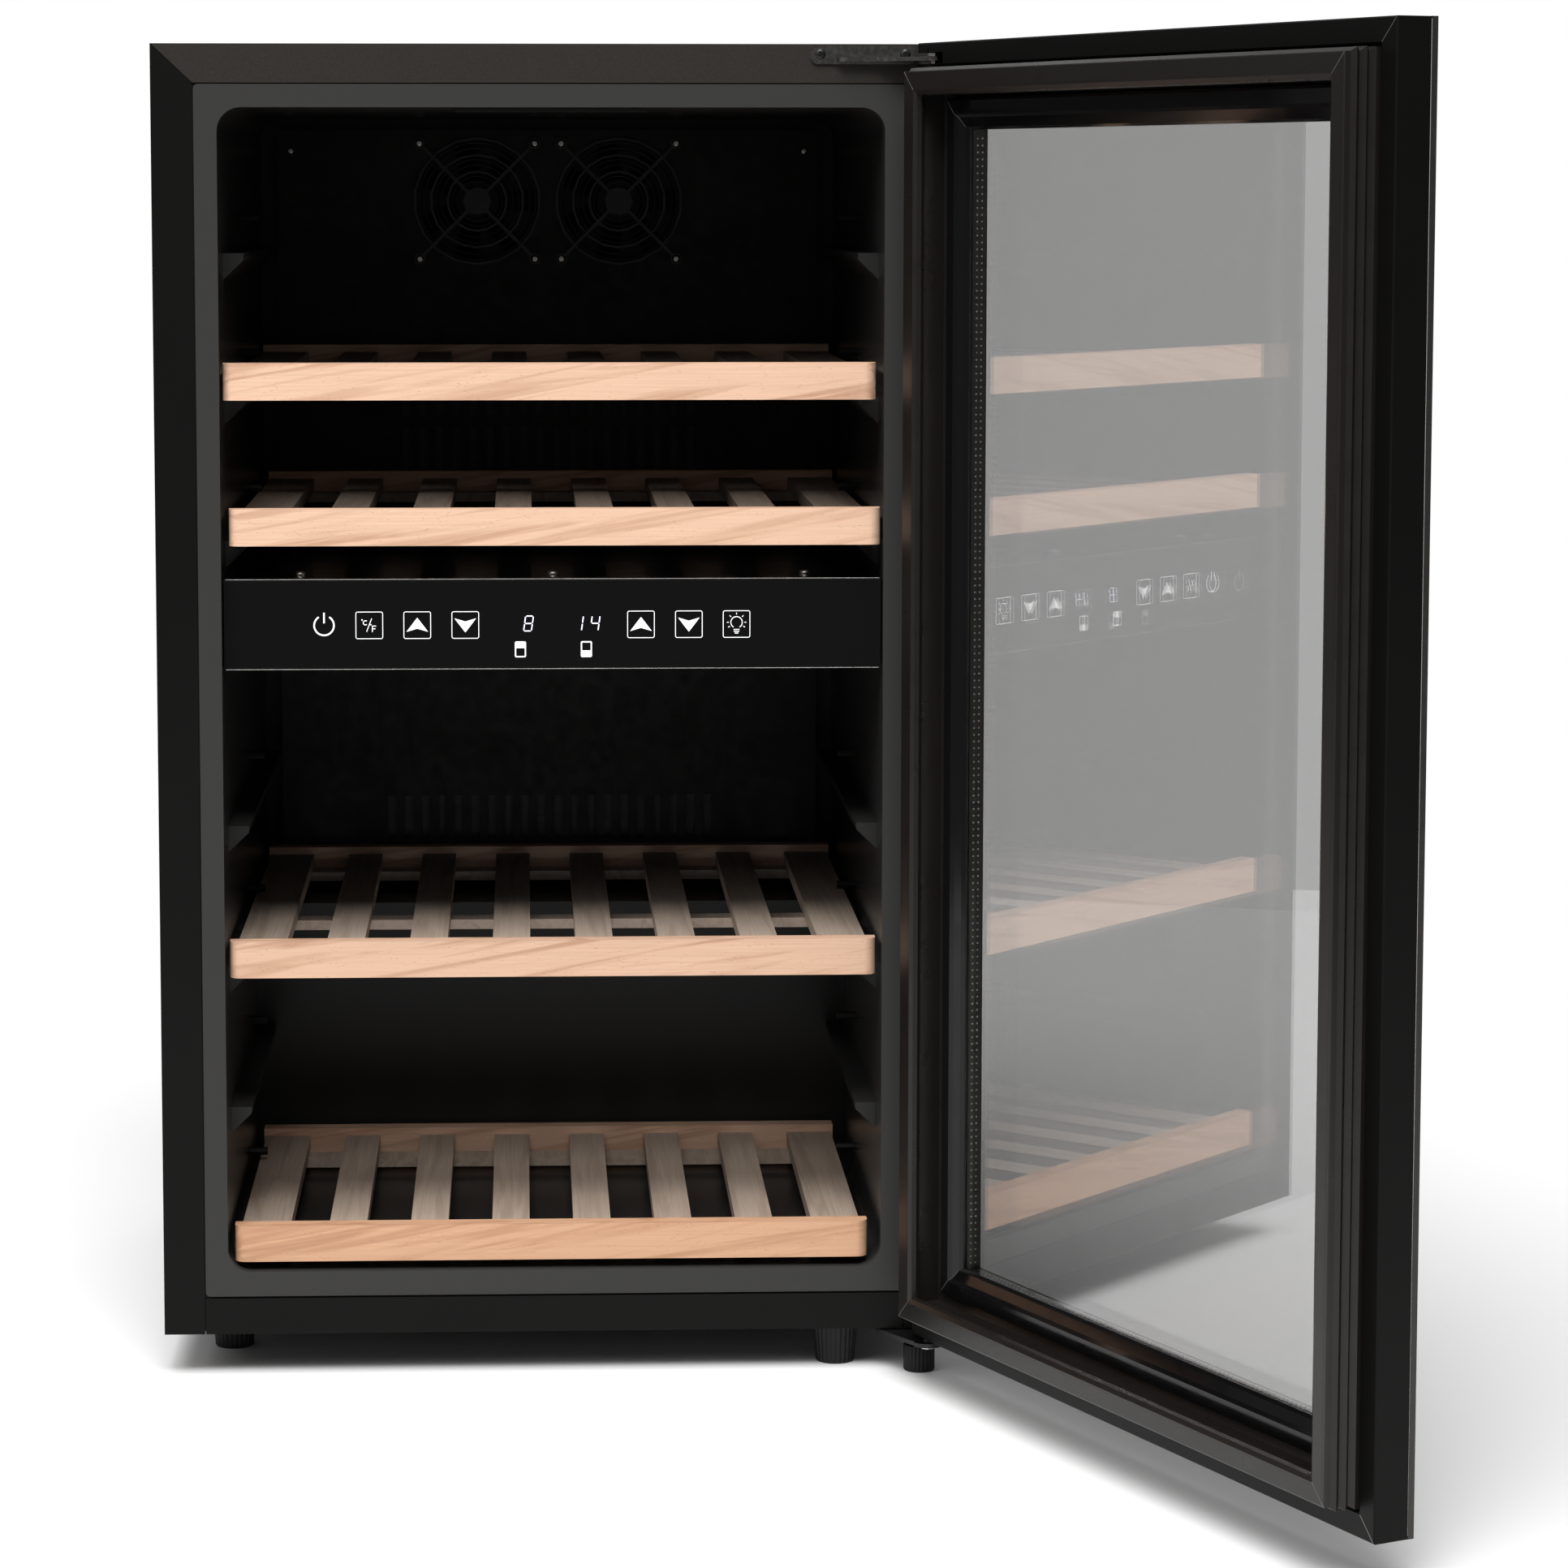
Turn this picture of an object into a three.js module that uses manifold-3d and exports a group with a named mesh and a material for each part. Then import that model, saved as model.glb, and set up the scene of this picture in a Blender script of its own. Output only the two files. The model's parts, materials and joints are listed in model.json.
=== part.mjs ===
// A free-standing two-zone wine cooler with a right-hinged glass door and four sliding wooden shelves.
// Millimetres, +Z up. The origin is the middle of the base pan's underside; the front faces -Y.
// The cabinet group counts y from the casing's front plane, so y is the depth behind that plane.
import * as THREE from 'three';
import { mergeVertices } from 'three/addons/utils/BufferGeometryUtils.js';
import Module from 'manifold-3d';

const wasm = await Module();
wasm.setup();

// Casing
const WIDTH = 495;
const HEIGHT = 812;
const DEPTH = 495;
const SHEET = 1.2;
const SIDE_STRIP = 25.5;
const TOP_STRIP = 24;
const BASE_THICKNESS = 1.5;
const FLOOR = -27.5;
const GAP = 0.3;

// Cavity and liner
const CAVITY_HALF = 207;
const CAVITY_BOTTOM = 40;
const CAVITY_TOP = 773;
const CAVITY_DEPTH = 470;
const CAVITY_RADIUS = 15;
const LINER = 1.5;
const LINER_FLANGE = 14.2;
const HUMP_FRONT = 335;
const HUMP_TOP = 222;
const BAY_FRONT = 365;
const BAY_TOP = 195;
const COVER_FRONT = 452;
const COVER_HALF = 194.5;

// Shelf places, counted from the bottom; place 4 is taken by the control panel
const FIRST_SHELF_TOP = 68.6;
const SHELF_PITCH = 91;
const PLACES = [0, 1, 2, 3, 5, 6, 7];
const RAIL_HEIGHT = 23;
const RAIL_THICKNESS = 14;
const RAIL_FRONT = 4;
const SLAT_DROP = 8;
const SLAT_THICKNESS = 9;
const PIN_DEPTH = 233;
const PIN_RADIUS = 2.8;
const PIN_DROP = 1.5;
const LEDGE_WIDTH = 13;

// Control panel between the zones
const PANEL_BOTTOM = 422.5;
const PANEL_TOP = 479.5;
const PANEL_FRONT = 8;

// Fans
const FAN_X = 51;
const FAN_Z = 714;
const FAN_SIZE = 92;
const FAN_BORE = 43;
const FAN_SCREW = 41.5;

// Door and its hinge; door pieces are drawn closed, around the hinge axis
const HINGE_X = 235;
const HINGE_Y = -25.3;
const DOOR_OPEN_DEG = 115;
const DOOR_BACK = 4.8;
const DOOR_GLASS_BACK = -17.4;
const DOOR_GLASS_FRONT = -21.2;
const DOOR_MIDDLE = -HINGE_X;
const HINGE_PIN_RADIUS = 2.5;
const BUSH_RADIUS = 4;

const finish = (color, roughness, metalness = 0, opacity = 1) =>
  new THREE.MeshStandardMaterial({ color, roughness, metalness, opacity, transparent: opacity < 1 });
const blackPaint = finish(0x121212, 0.45);
const greySatin = finish(0x2b2c2d, 0.4);
const glossBlack = finish(0x08080a, 0.12);
const mattBlack = finish(0x151515, 0.6);
const rubberBlack = finish(0x1c1a19, 0.7);
const zinc = finish(0xa7a8a8, 0.35, 0.9);
const steelBlack = finish(0x1a1b1c, 0.4, 0.5);
const beech = finish(0xdeb28c, 0.55);
const foamCream = finish(0xd9cfa8, 0.9);
const smokedGlass = finish(0x3b3c3d, 0.05, 0, 0.35);
const spacerGrey = finish(0x4a4b4c, 0.5, 0.4);
const lampWhite = finish(0xf2f4f6, 0.3, 0, 0.8);
const boardGreen = finish(0x1d4a2c, 0.5);

// ---- shapes ----

// A closed mesh with merged corners whose faces point out
function closed(geometry) {
  const plain = geometry.clone();
  plain.deleteAttribute('normal');
  plain.deleteAttribute('uv');
  const merged = mergeVertices(plain, 1e-4);
  const index = Array.from(merged.index.array);
  const at = merged.attributes.position;
  const [a, b, c] = [new THREE.Vector3(), new THREE.Vector3(), new THREE.Vector3()];
  let volume = 0;
  for (let i = 0; i < index.length; i += 3) {
    a.fromBufferAttribute(at, index[i]);
    b.fromBufferAttribute(at, index[i + 1]);
    c.fromBufferAttribute(at, index[i + 2]);
    volume += a.dot(b.cross(c));
  }
  if (volume < 0) {
    for (let i = 0; i < index.length; i += 3) {
      [index[i + 1], index[i + 2]] = [index[i + 2], index[i + 1]];
    }
  }
  merged.setIndex(index);
  return merged;
}

function solid(geometry) {
  const whole = closed(geometry);
  const triVerts = new Uint32Array(whole.index.array);
  const vertProperties = new Float32Array(whole.attributes.position.array);
  const mesh = new wasm.Mesh({ numProp: 3, vertProperties, triVerts });
  mesh.merge();
  return new wasm.Manifold(mesh);
}

function box(x0, x1, y0, y1, z0, z1) {
  const block = new THREE.BoxGeometry(x1 - x0, y1 - y0, z1 - z0);
  return solid(block.translate((x0 + x1) / 2, (y0 + y1) / 2, (z0 + z1) / 2));
}

function outline(points) {
  return new THREE.Shape(points.map(([x, y]) => new THREE.Vector2(x, y)));
}

function extrude(shape, depth, curveSegments = 4) {
  return new THREE.ExtrudeGeometry(shape, { depth, bevelEnabled: false, curveSegments });
}

// A shape in x and z, from depth y0 to depth y1
function upright(shape, y0, y1, curveSegments) {
  return solid(extrude(shape, y1 - y0, curveSegments).rotateX(Math.PI / 2).translate(0, y1, 0));
}

// A shape in x and y, from height z0 to height z1
function flat(shape, z0, z1, curveSegments) {
  return solid(extrude(shape, z1 - z0, curveSegments).translate(0, 0, z0));
}

// A shape in y and z, from x0 to x1
function sideways(shape, x0, x1) {
  const turn = new THREE.Matrix4().makeBasis(
    new THREE.Vector3(0, 1, 0),
    new THREE.Vector3(0, 0, 1),
    new THREE.Vector3(1, 0, 0),
  );
  return solid(extrude(shape, x1 - x0).applyMatrix4(turn).translate(x0, 0, 0));
}

function roundedRectangle(x0, x1, z0, z1, r) {
  const shape = new THREE.Shape();
  shape.moveTo(x0 + r, z0);
  shape.lineTo(x1 - r, z0);
  shape.absarc(x1 - r, z0 + r, r, -Math.PI / 2, 0);
  shape.lineTo(x1, z1 - r);
  shape.absarc(x1 - r, z1 - r, r, 0, Math.PI / 2);
  shape.lineTo(x0 + r, z1);
  shape.absarc(x0 + r, z1 - r, r, Math.PI / 2, Math.PI);
  shape.lineTo(x0, z0 + r);
  shape.absarc(x0 + r, z0 + r, r, Math.PI, 1.5 * Math.PI);
  return shape;
}

// A round bar between two places along one axis: 'x', 'y' or 'z'
function rod(axis, radius, from, to, a, b, sides = 12) {
  const bar = new THREE.CylinderGeometry(radius, radius, to - from, sides);
  const middle = (from + to) / 2;
  if (axis === 'x') {
    return solid(bar.rotateZ(Math.PI / 2).translate(middle, a, b));
  }
  if (axis === 'y') {
    return solid(bar.translate(a, middle, b));
  }
  return solid(bar.rotateX(Math.PI / 2).translate(a, b, middle));
}

// A round piece around a vertical axis, from radius and height pairs
function turned(profile, x, y, sides) {
  const points = profile.map(([r, z]) => new THREE.Vector2(r, z));
  const lathe = new THREE.LatheGeometry(points, sides);
  return solid(lathe.rotateX(Math.PI / 2).translate(x, y, 0));
}

// A flat ring around an axis along y
function hoop(inner, outer, y0, y1, x, z, sides) {
  const points = [[inner, y0], [outer, y0], [outer, y1], [inner, y1], [inner, y0]];
  const lathe = new THREE.LatheGeometry(points.map(([r, y]) => new THREE.Vector2(r, y)), sides);
  return solid(lathe.translate(x, 0, z));
}

// A mitred rectangular ring: its closed section is given as inset from the outer edge, and depth
function mitredRing(section, x0, x1, z0, z1) {
  const half = Math.min(x1 - x0, z1 - z0) / 2;
  const points = [...section, section[0]];
  const profile = points.map(([inset, y]) => new THREE.Vector2((half - inset) * Math.SQRT2, y));
  const ring = new THREE.LatheGeometry(profile, 4, Math.PI / 4);
  const at = ring.attributes.position;
  for (let i = 0; i < at.count; i += 1) {
    at.setX(i, at.getX(i) + Math.sign(at.getX(i)) * ((x1 - x0) / 2 - half));
    at.setZ(i, at.getZ(i) + Math.sign(at.getZ(i)) * ((z1 - z0) / 2 - half));
  }
  return solid(ring.translate((x0 + x1) / 2, 0, (z0 + z1) / 2));
}

// A path through given points, sampled at exactly those points
class PointPath extends THREE.Curve {
  constructor(points) {
    super();
    this.points = points;
  }

  getPointAt(u) {
    return this.points[Math.round(u * (this.points.length - 1))].clone();
  }

  getTangentAt(u) {
    const i = Math.round(u * (this.points.length - 1));
    const before = this.points[Math.max(i - 1, 0)];
    const after = this.points[Math.min(i + 1, this.points.length - 1)];
    return after.clone().sub(before).normalize();
  }

  getSpacedPoints() {
    return this.points.map((point) => point.clone());
  }
}

function tube(points, radius, sides) {
  const section = new THREE.Shape();
  for (let i = 0; i < sides; i += 1) {
    const turn = (2 * Math.PI * i) / sides;
    const [x, y] = [radius * Math.cos(turn), radius * Math.sin(turn)];
    if (i === 0) {
      section.moveTo(x, y);
    } else {
      section.lineTo(x, y);
    }
  }
  const extrudePath = new PointPath(points);
  return solid(new THREE.ExtrudeGeometry(section, { steps: points.length - 1, extrudePath }));
}

function join(first, ...others) {
  return others.reduce((whole, piece) => whole.add(piece), first);
}

function cut(first, ...others) {
  return others.reduce((whole, piece) => whole.subtract(piece), first);
}

// One named piece, added to its group
function piece(group, name, shape, material) {
  const { vertProperties, triVerts } = shape.getMesh();
  const geometry = new THREE.BufferGeometry();
  geometry.setAttribute('position', new THREE.BufferAttribute(vertProperties, 3));
  geometry.setIndex(new THREE.BufferAttribute(triVerts, 1));
  geometry.computeVertexNormals();
  const mesh = new THREE.Mesh(geometry, material);
  mesh.name = name;
  group.add(mesh);
}

const shelfTop = (place) => FIRST_SHELF_TOP + place * SHELF_PITCH;
const sides = [['left', -1], ['right', 1]];

// ---- casing ----

function sidePanel(sign) {
  const edge = (sign * WIDTH) / 2;
  const inner = edge - sign * SIDE_STRIP;
  const strip = outline([[edge, 0], [inner, 0], [inner, HEIGHT - TOP_STRIP], [edge, HEIGHT]]);
  const span = (x0, x1) => [Math.min(x0, x1), Math.max(x0, x1)];
  const wall = box(...span(edge, edge - sign * SHEET), 0, DEPTH, 0, HEIGHT);
  const rear = box(...span(edge, edge - sign * 15), DEPTH - SHEET, DEPTH, 0, HEIGHT);
  return join(wall, upright(strip, 0, SHEET), rear);
}

function topPanel() {
  const half = WIDTH / 2 - SHEET - GAP;
  const slope = SIDE_STRIP / TOP_STRIP;
  const shoulder = HEIGHT - (SHEET + GAP) / slope + 0.4;
  const corner = WIDTH / 2 - SIDE_STRIP - 0.4;
  const low = HEIGHT - TOP_STRIP;
  const strip = outline([[-half, HEIGHT], [-half, shoulder], [-corner, low], [corner, low],
    [half, shoulder], [half, HEIGHT]]);
  const sheet = box(-half, half, 0, DEPTH - SHEET - GAP, HEIGHT - SHEET, HEIGHT);
  const lap = box(-half + 15, half - 15, DEPTH - 10, DEPTH, HEIGHT - SHEET, HEIGHT);
  const rear = box(-half + 15, half - 15, DEPTH - SHEET, DEPTH, HEIGHT - 22, HEIGHT);
  return join(sheet, upright(strip, 0, SHEET), lap, rear);
}

function bottomRail() {
  const half = WIDTH / 2 - SIDE_STRIP - 0.8;
  const face = box(-half, half, 0, SHEET, 0, 23);
  return join(face, box(-half, half, 0, 30, 0, SHEET));
}

// The floor, with a pressed bead around its middle, and the bulkhead and roof of the compressor bay
function basePan() {
  const half = WIDTH / 2 - SHEET - 0.4;
  const back = DEPTH - 2.8 - GAP;
  const middle = DEPTH / 2;
  const floor = box(-half, half, 31, back, 0, BASE_THICKNESS);
  const beadOuter = box(-160, 160, middle - 160, middle + 160, -1, 0.8);
  const beadInner = box(-155, 155, middle - 155, middle + 155, -2, 2);
  const rearLip = box(-half, half, back - SHEET, back, 0, 18);
  const bulkhead = box(-half, half, BAY_FRONT, BAY_FRONT + SHEET, 0, BAY_TOP);
  const roof = box(-half, half, BAY_FRONT, back, BAY_TOP - SHEET, BAY_TOP);
  return join(cut(floor, cut(beadOuter, beadInner)), rearLip, bulkhead, roof);
}

function cavitySolid(grow, front) {
  const shape = roundedRectangle(-CAVITY_HALF - grow, CAVITY_HALF + grow, CAVITY_BOTTOM - grow,
    CAVITY_TOP + grow, CAVITY_RADIUS + grow);
  const room = upright(shape, front, CAVITY_DEPTH + grow, 5);
  const hump = box(-300, 300, HUMP_FRONT + grow, CAVITY_DEPTH + 50, 0, HUMP_TOP - grow);
  return cut(room, hump);
}

function ledge(sign, place) {
  const top = shelfTop(place) - RAIL_HEIGHT - 0.4;
  const wall = sign * (CAVITY_HALF + 0.5);
  const lip = sign * (CAVITY_HALF - LEDGE_WIDTH);
  const back = top - 17 < HUMP_TOP ? HUMP_FRONT - 6 : 430;
  const section = outline([[wall, top], [lip, top], [lip, top - 4], [wall, top - 17]]);
  return upright(section, 48, back).intersect(cavitySolid(0.8, 0));
}

const pinStrip = (grow) => [CAVITY_HALF + LINER + GAP - grow, CAVITY_HALF + LINER + 2.3 + grow];

function innerLiner() {
  const flangeOuter = roundedRectangle(-CAVITY_HALF - LINER_FLANGE, CAVITY_HALF + LINER_FLANGE,
    CAVITY_BOTTOM - LINER_FLANGE - 1.5, CAVITY_TOP + LINER_FLANGE, 3);
  const flange = upright(flangeOuter, 0, LINER, 2);
  const ledges = sides.flatMap(([, sign]) => PLACES.map((place) => ledge(sign, place)));
  const shell = cut(join(cavitySolid(LINER, 0), flange), cavitySolid(0, -5));
  const holes = sides.flatMap(([, sign]) => PLACES.map((place) => {
    const ends = [sign * (CAVITY_HALF - 1), sign * (CAVITY_HALF + 4)].sort((a, b) => a - b);
    return rod('x', PIN_RADIUS + 0.5, ...ends, PIN_DEPTH, shelfTop(place) - PIN_DROP, 8);
  }));
  return cut(join(shell, ...ledges), ...holes);
}

function guidePins(sign) {
  const ends = (a, b) => [sign * a, sign * b].sort((x, y) => x - y);
  const strip = box(...ends(...pinStrip(0)), PIN_DEPTH - 6, PIN_DEPTH + 6, shelfTop(0) - 14,
    shelfTop(7) + 6);
  const pins = PLACES.map((place) =>
    rod('x', PIN_RADIUS, ...ends(CAVITY_HALF - 12, CAVITY_HALF + LINER + 1.5), PIN_DEPTH,
      shelfTop(place) - PIN_DROP, 8));
  return join(strip, ...pins);
}

function foam() {
  const half = WIDTH / 2 - SHEET - GAP;
  const back = DEPTH - 3 - GAP;
  const block = box(-half, half, LINER + GAP, back, BASE_THICKNESS + GAP, HEIGHT - SHEET - GAP);
  const bay = box(-300, 300, BAY_FRONT - GAP, 600, -10, BAY_TOP + GAP);
  const strips = sides.map(([, sign]) => {
    const ends = pinStrip(GAP).map((x) => sign * x).sort((a, b) => a - b);
    return box(...ends, PIN_DEPTH - 7, PIN_DEPTH + 7, shelfTop(0) - 15, shelfTop(7) + 7);
  });
  return cut(block, cavitySolid(LINER + GAP, -5), bay, ...strips);
}

// ---- air covers, cold plates and fans at the back of the zones ----

function slotRow(columns, z0, z1) {
  const slots = [];
  for (let column = 0; column < columns; column += 1) {
    const middle = 6.05 + 12.1 * column;
    for (const x of [-middle, middle]) {
      slots.push(box(x - 3.25, x + 3.25, COVER_FRONT - 5, COVER_FRONT + 5, z0, z1));
    }
  }
  return slots;
}

function airCover(bottom, top, openings) {
  const outer = box(-COVER_HALF, COVER_HALF, COVER_FRONT, CAVITY_DEPTH - 0.4, bottom, top);
  const inner = box(-COVER_HALF + 2, COVER_HALF - 2, COVER_FRONT + 2, CAVITY_DEPTH, bottom + 2,
    top - 2);
  return cut(outer, inner, ...openings);
}

function coldPlate(bottom, top) {
  const y = COVER_FRONT + 8;
  const bars = [];
  for (let z = bottom + 14; z < top - 10; z += 28) {
    bars.push(box(-160, 160, y + 1, y + 5, z, z + 6));
  }
  return join(box(-170, 170, y, y + 1.5, bottom, top), ...bars);
}

const fanFront = COVER_FRONT + 2.4;

function fanFrame(x) {
  const half = FAN_SIZE / 2;
  const back = fanFront + 14;
  const shape = roundedRectangle(x - half, x + half, FAN_Z - half, FAN_Z + half, 4);
  const body = upright(shape, fanFront, back, 2);
  const bore = rod('y', FAN_BORE, fanFront - 1, back + 1, x, FAN_Z, 24);
  const seat = rod('y', 17, back - 2, back, x, FAN_Z, 16);
  const spokes = [
    box(x - half + 2, x + half - 2, back - 2, back, FAN_Z - 2, FAN_Z + 2),
    box(x - 2, x + 2, back - 2, back, FAN_Z - half + 2, FAN_Z + half - 2),
  ];
  return join(cut(body, bore), seat, ...spokes);
}

function fanRotor() {
  const hub = rod('y', 16, 0, 10, 0, 0, 16);
  const blades = [];
  for (let i = 0; i < 7; i += 1) {
    const blade = new THREE.BoxGeometry(28, 1.6, 15);
    blade.rotateX(THREE.MathUtils.degToRad(28)).translate(27, 5, 0);
    blades.push(solid(blade.rotateY((2 * Math.PI * i) / 7)));
  }
  return join(hub, ...blades);
}

function fanGuard(x) {
  const [y0, y1] = [COVER_FRONT - 3, COVER_FRONT - GAP];
  const rings = [46, 34, 22].map((r) => hoop(r - 1.6, r, y0, y1, x, FAN_Z, 18));
  const parts = [rod('y', 10, y0, y1, x, FAN_Z, 12)];
  for (const turn of [45, 135, 225, 315]) {
    const angle = THREE.MathUtils.degToRad(turn);
    const reach = FAN_SCREW * Math.SQRT2;
    const arm = new THREE.BoxGeometry(reach, y1 - y0, 2.4).translate(reach / 2, (y0 + y1) / 2, 0);
    parts.push(solid(arm.rotateY(angle).translate(x, 0, FAN_Z)));
    const [dx, dz] = [reach * Math.cos(angle), reach * Math.sin(angle)];
    parts.push(rod('y', 4.2, y0, y1, x + dx, FAN_Z + dz, 8));
  }
  return join(...parts, ...rings);
}

// ---- divider and control panel ----

function dividerHousing() {
  const block = box(-206.4, 206.4, 14, 449, 424, 476.6);
  const boardPocket = box(-141, 141, 10, 24, 431, 471);
  const lampPocket = box(-60, 60, 30, 46, 420, 426.5);
  return cut(block, boardPocket, lampPocket);
}

function controlPanel() {
  const shape = outline([[PANEL_FRONT, PANEL_BOTTOM + 1], [PANEL_FRONT + 1, PANEL_BOTTOM],
    [PANEL_FRONT + 3.5, PANEL_BOTTOM], [PANEL_FRONT + 3.5, PANEL_TOP],
    [PANEL_FRONT + 1, PANEL_TOP], [PANEL_FRONT, PANEL_TOP - 1]]);
  return sideways(shape, -206, 206);
}

function controlBoard() {
  const board = box(-138, 138, 16, 17.6, 434, 468);
  const display = box(-30, 38, 12, 16.5, 438, 458);
  const chips = [-90, -60, 70, 100].map((x) => box(x, x + 12, 17, 20, 445, 457));
  return join(board, display, ...chips);
}

// ---- hinges and feet ----

function topHinge() {
  const plate = upright(roundedRectangle(160, 226, 799.6, 810.9, 5), -1.8, -GAP, 4);
  const arm = new THREE.Shape();
  arm.moveTo(HINGE_X - 7.5, -1);
  arm.lineTo(HINGE_X - 54, -1);
  arm.quadraticCurveTo(HINGE_X - 60, -1.4, HINGE_X - 58, -5);
  arm.quadraticCurveTo(HINGE_X - 56, -8, HINGE_X - 50, -8);
  arm.lineTo(HINGE_X - 34, -8);
  const [from, to] = [231, 392].map(THREE.MathUtils.degToRad);
  arm.absarc(HINGE_X, HINGE_Y, 6.5, from, to);
  const hole = rod('z', HINGE_PIN_RADIUS + GAP, 795, 810, HINGE_X, HINGE_Y, 10);
  return cut(join(plate, flat(arm, 801, 803.5, 5)), hole);
}

function bottomHinge() {
  const plate = new THREE.Shape();
  plate.moveTo(205, 30);
  plate.lineTo(205, 4);
  plate.lineTo(HINGE_X - 9, HINGE_Y - 4);
  plate.absarc(HINGE_X, HINGE_Y, 11, Math.PI * 1.2, Math.PI * 1.9);
  plate.lineTo(246.5, 4);
  plate.lineTo(246.5, 30);
  const pad = box(206, 245, 3, 29, -3, -GAP);
  const hole = rod('z', HINGE_PIN_RADIUS + GAP, -10, 5, HINGE_X, HINGE_Y, 10);
  return cut(join(flat(plate, -4, -1.4, 5), pad), hole);
}

function hingePin(bottom, top, headBottom, headTop) {
  const shaft = rod('z', HINGE_PIN_RADIUS, bottom, top, HINGE_X, HINGE_Y, 12);
  return join(shaft, rod('z', 4.5, headBottom, headTop, HINGE_X, HINGE_Y, 12));
}

function foot(x, y) {
  const profile = [[0, FLOOR], [12, FLOOR], [12.5, FLOOR + 1], [14.5, -6], [14.5, -GAP], [0, -GAP]];
  return turned(profile, x, y, 16);
}

function hingeFoot() {
  const profile = [[0, FLOOR], [9.5, FLOOR], [10, FLOOR + 1], [10, -11], [4, -11], [4, -4.4],
    [0, -4.4]];
  return turned(profile, 232, 2, 16);
}

// ---- compressor bay and back ----

function compressor() {
  const profile = [[0, 12], [50, 12], [56, 18], [57, 28], [57, 84], [61, 85], [61, 90], [57, 91],
    [56, 128], [48, 145], [28, 155], [0, 158]];
  const shell = turned(profile, 60, 428, 18);
  const feet = box(-15, 135, 405, 451, 9, 14);
  const posts = [-8, 128].flatMap((x) => [411, 445].map((y) =>
    rod('z', 6, BASE_THICKNESS + GAP, 10, x, y, 8)));
  return join(shell, feet, ...posts);
}

function dripTray() {
  const tray = box(0, 120, 390, 470, 162, 180);
  return cut(tray, box(2, 118, 392, 468, 164, 190));
}

function condenser() {
  const [half, bend, runs, bottom] = [195, 22, 12, 240];
  const y = DEPTH + 12;
  const points = [new THREE.Vector3(-half, y, bottom)];
  for (let run = 0; run < runs; run += 1) {
    const z = bottom + run * 2 * bend;
    const end = run % 2 === 0 ? half : -half;
    points.push(new THREE.Vector3(end, y, z));
    for (let step = 1; step < 5 && run < runs - 1; step += 1) {
      const turn = (Math.PI * step) / 4;
      const reach = Math.sign(end) * bend * Math.sin(turn);
      points.push(new THREE.Vector3(end + reach, y, z + bend - bend * Math.cos(turn)));
    }
  }
  const brackets = [-150, 150].flatMap((x) => [-1, 1].map((at) => {
    const z = bottom + (runs - 1) * bend + at * (runs - 1) * bend;
    return box(x - 8, x + 8, DEPTH - SHEET + GAP, y + 1, z - 3, z + 3);
  }));
  return join(tube(points, 3, 6), ...brackets);
}

function powerInlet() {
  const body = box(-200, -150, 470, 488, BASE_THICKNESS + GAP, 55);
  const socket = box(-189, -161, 476, 492, 24, 44);
  const pins = [-182, -175, -168].map((x) => box(x - 1, x + 1, 474, 485, 30, 38));
  return join(cut(body, socket), ...pins);
}

// ---- door ----

function doorRing(section) {
  return mitredRing(section, DOOR_MIDDLE - WIDTH / 2, DOOR_MIDDLE + WIDTH / 2, 0, HEIGHT);
}

function doorFrame() {
  const front = DOOR_GLASS_BACK + GAP;
  const ring = doorRing([[0, front], [0, DOOR_BACK - 0.8], [0.8, DOOR_BACK], [13.2, DOOR_BACK],
    [14, DOOR_BACK - 0.8], [14, -4], [34, -4], [34, front]]);
  const armRoom = box(-18, 20, -10.7, 20, 799, 806);
  const topBush = rod('z', BUSH_RADIUS + GAP, 786, 800, 0, 0, 12);
  const topPin = rod('z', HINGE_PIN_RADIUS + 2.4, 803, 809, 0, 0, 12);
  const bottomBush = rod('z', BUSH_RADIUS + GAP, -1, 14, 0, 0, 12);
  return cut(ring, armRoom, topBush, topPin, bottomBush);
}

function doorGasket() {
  const bushRoom = [[785, 800], [-1, 15]].map(([z0, z1]) =>
    rod('z', BUSH_RADIUS + GAP, z0, z1, 0, 0, 12));
  const seal = doorRing([[15.5, -3.7], [15.5, 6.4], [18, 9.4], [15.4, 12.4], [18, 15.4], [15.8, 18.4],
    [18, 21], [18, 24.4], [18.6, 24.8], [29.4, 24.8], [32, 23.4], [32.8, 20.6], [31.6, 17.8],
    [28.5, 16.4], [28.5, 2], [33.6, -0.5], [33.6, -3.7]]);
  return cut(seal, ...bushRoom);
}

function doorInnerFrame() {
  const front = DOOR_GLASS_BACK + GAP;
  return doorRing([[34.4, front], [34.4, 3.4], [36, 4.4], [44, 4.4], [46, 2.4], [52, 0.8],
    [53.6, -1.4], [53.6, -2.8], [45.6, -2.8], [45.6, front]]);
}

function doorPane(inset, y0, y1) {
  const shape = roundedRectangle(DOOR_MIDDLE - WIDTH / 2 + inset, DOOR_MIDDLE + WIDTH / 2 - inset,
    inset, HEIGHT - inset, 1.5);
  return upright(shape, y0, y1, 2);
}

function bush(bottom, top) {
  const inner = HINGE_PIN_RADIUS + GAP;
  const profile = [[inner, bottom], [BUSH_RADIUS, bottom], [BUSH_RADIUS, top], [inner, top],
    [inner, bottom]];
  return turned(profile, 0, 0, 12);
}

// ---- shelves, drawn with the rail's front face at y = 0 and the rail's top at z = 0 ----

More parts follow.
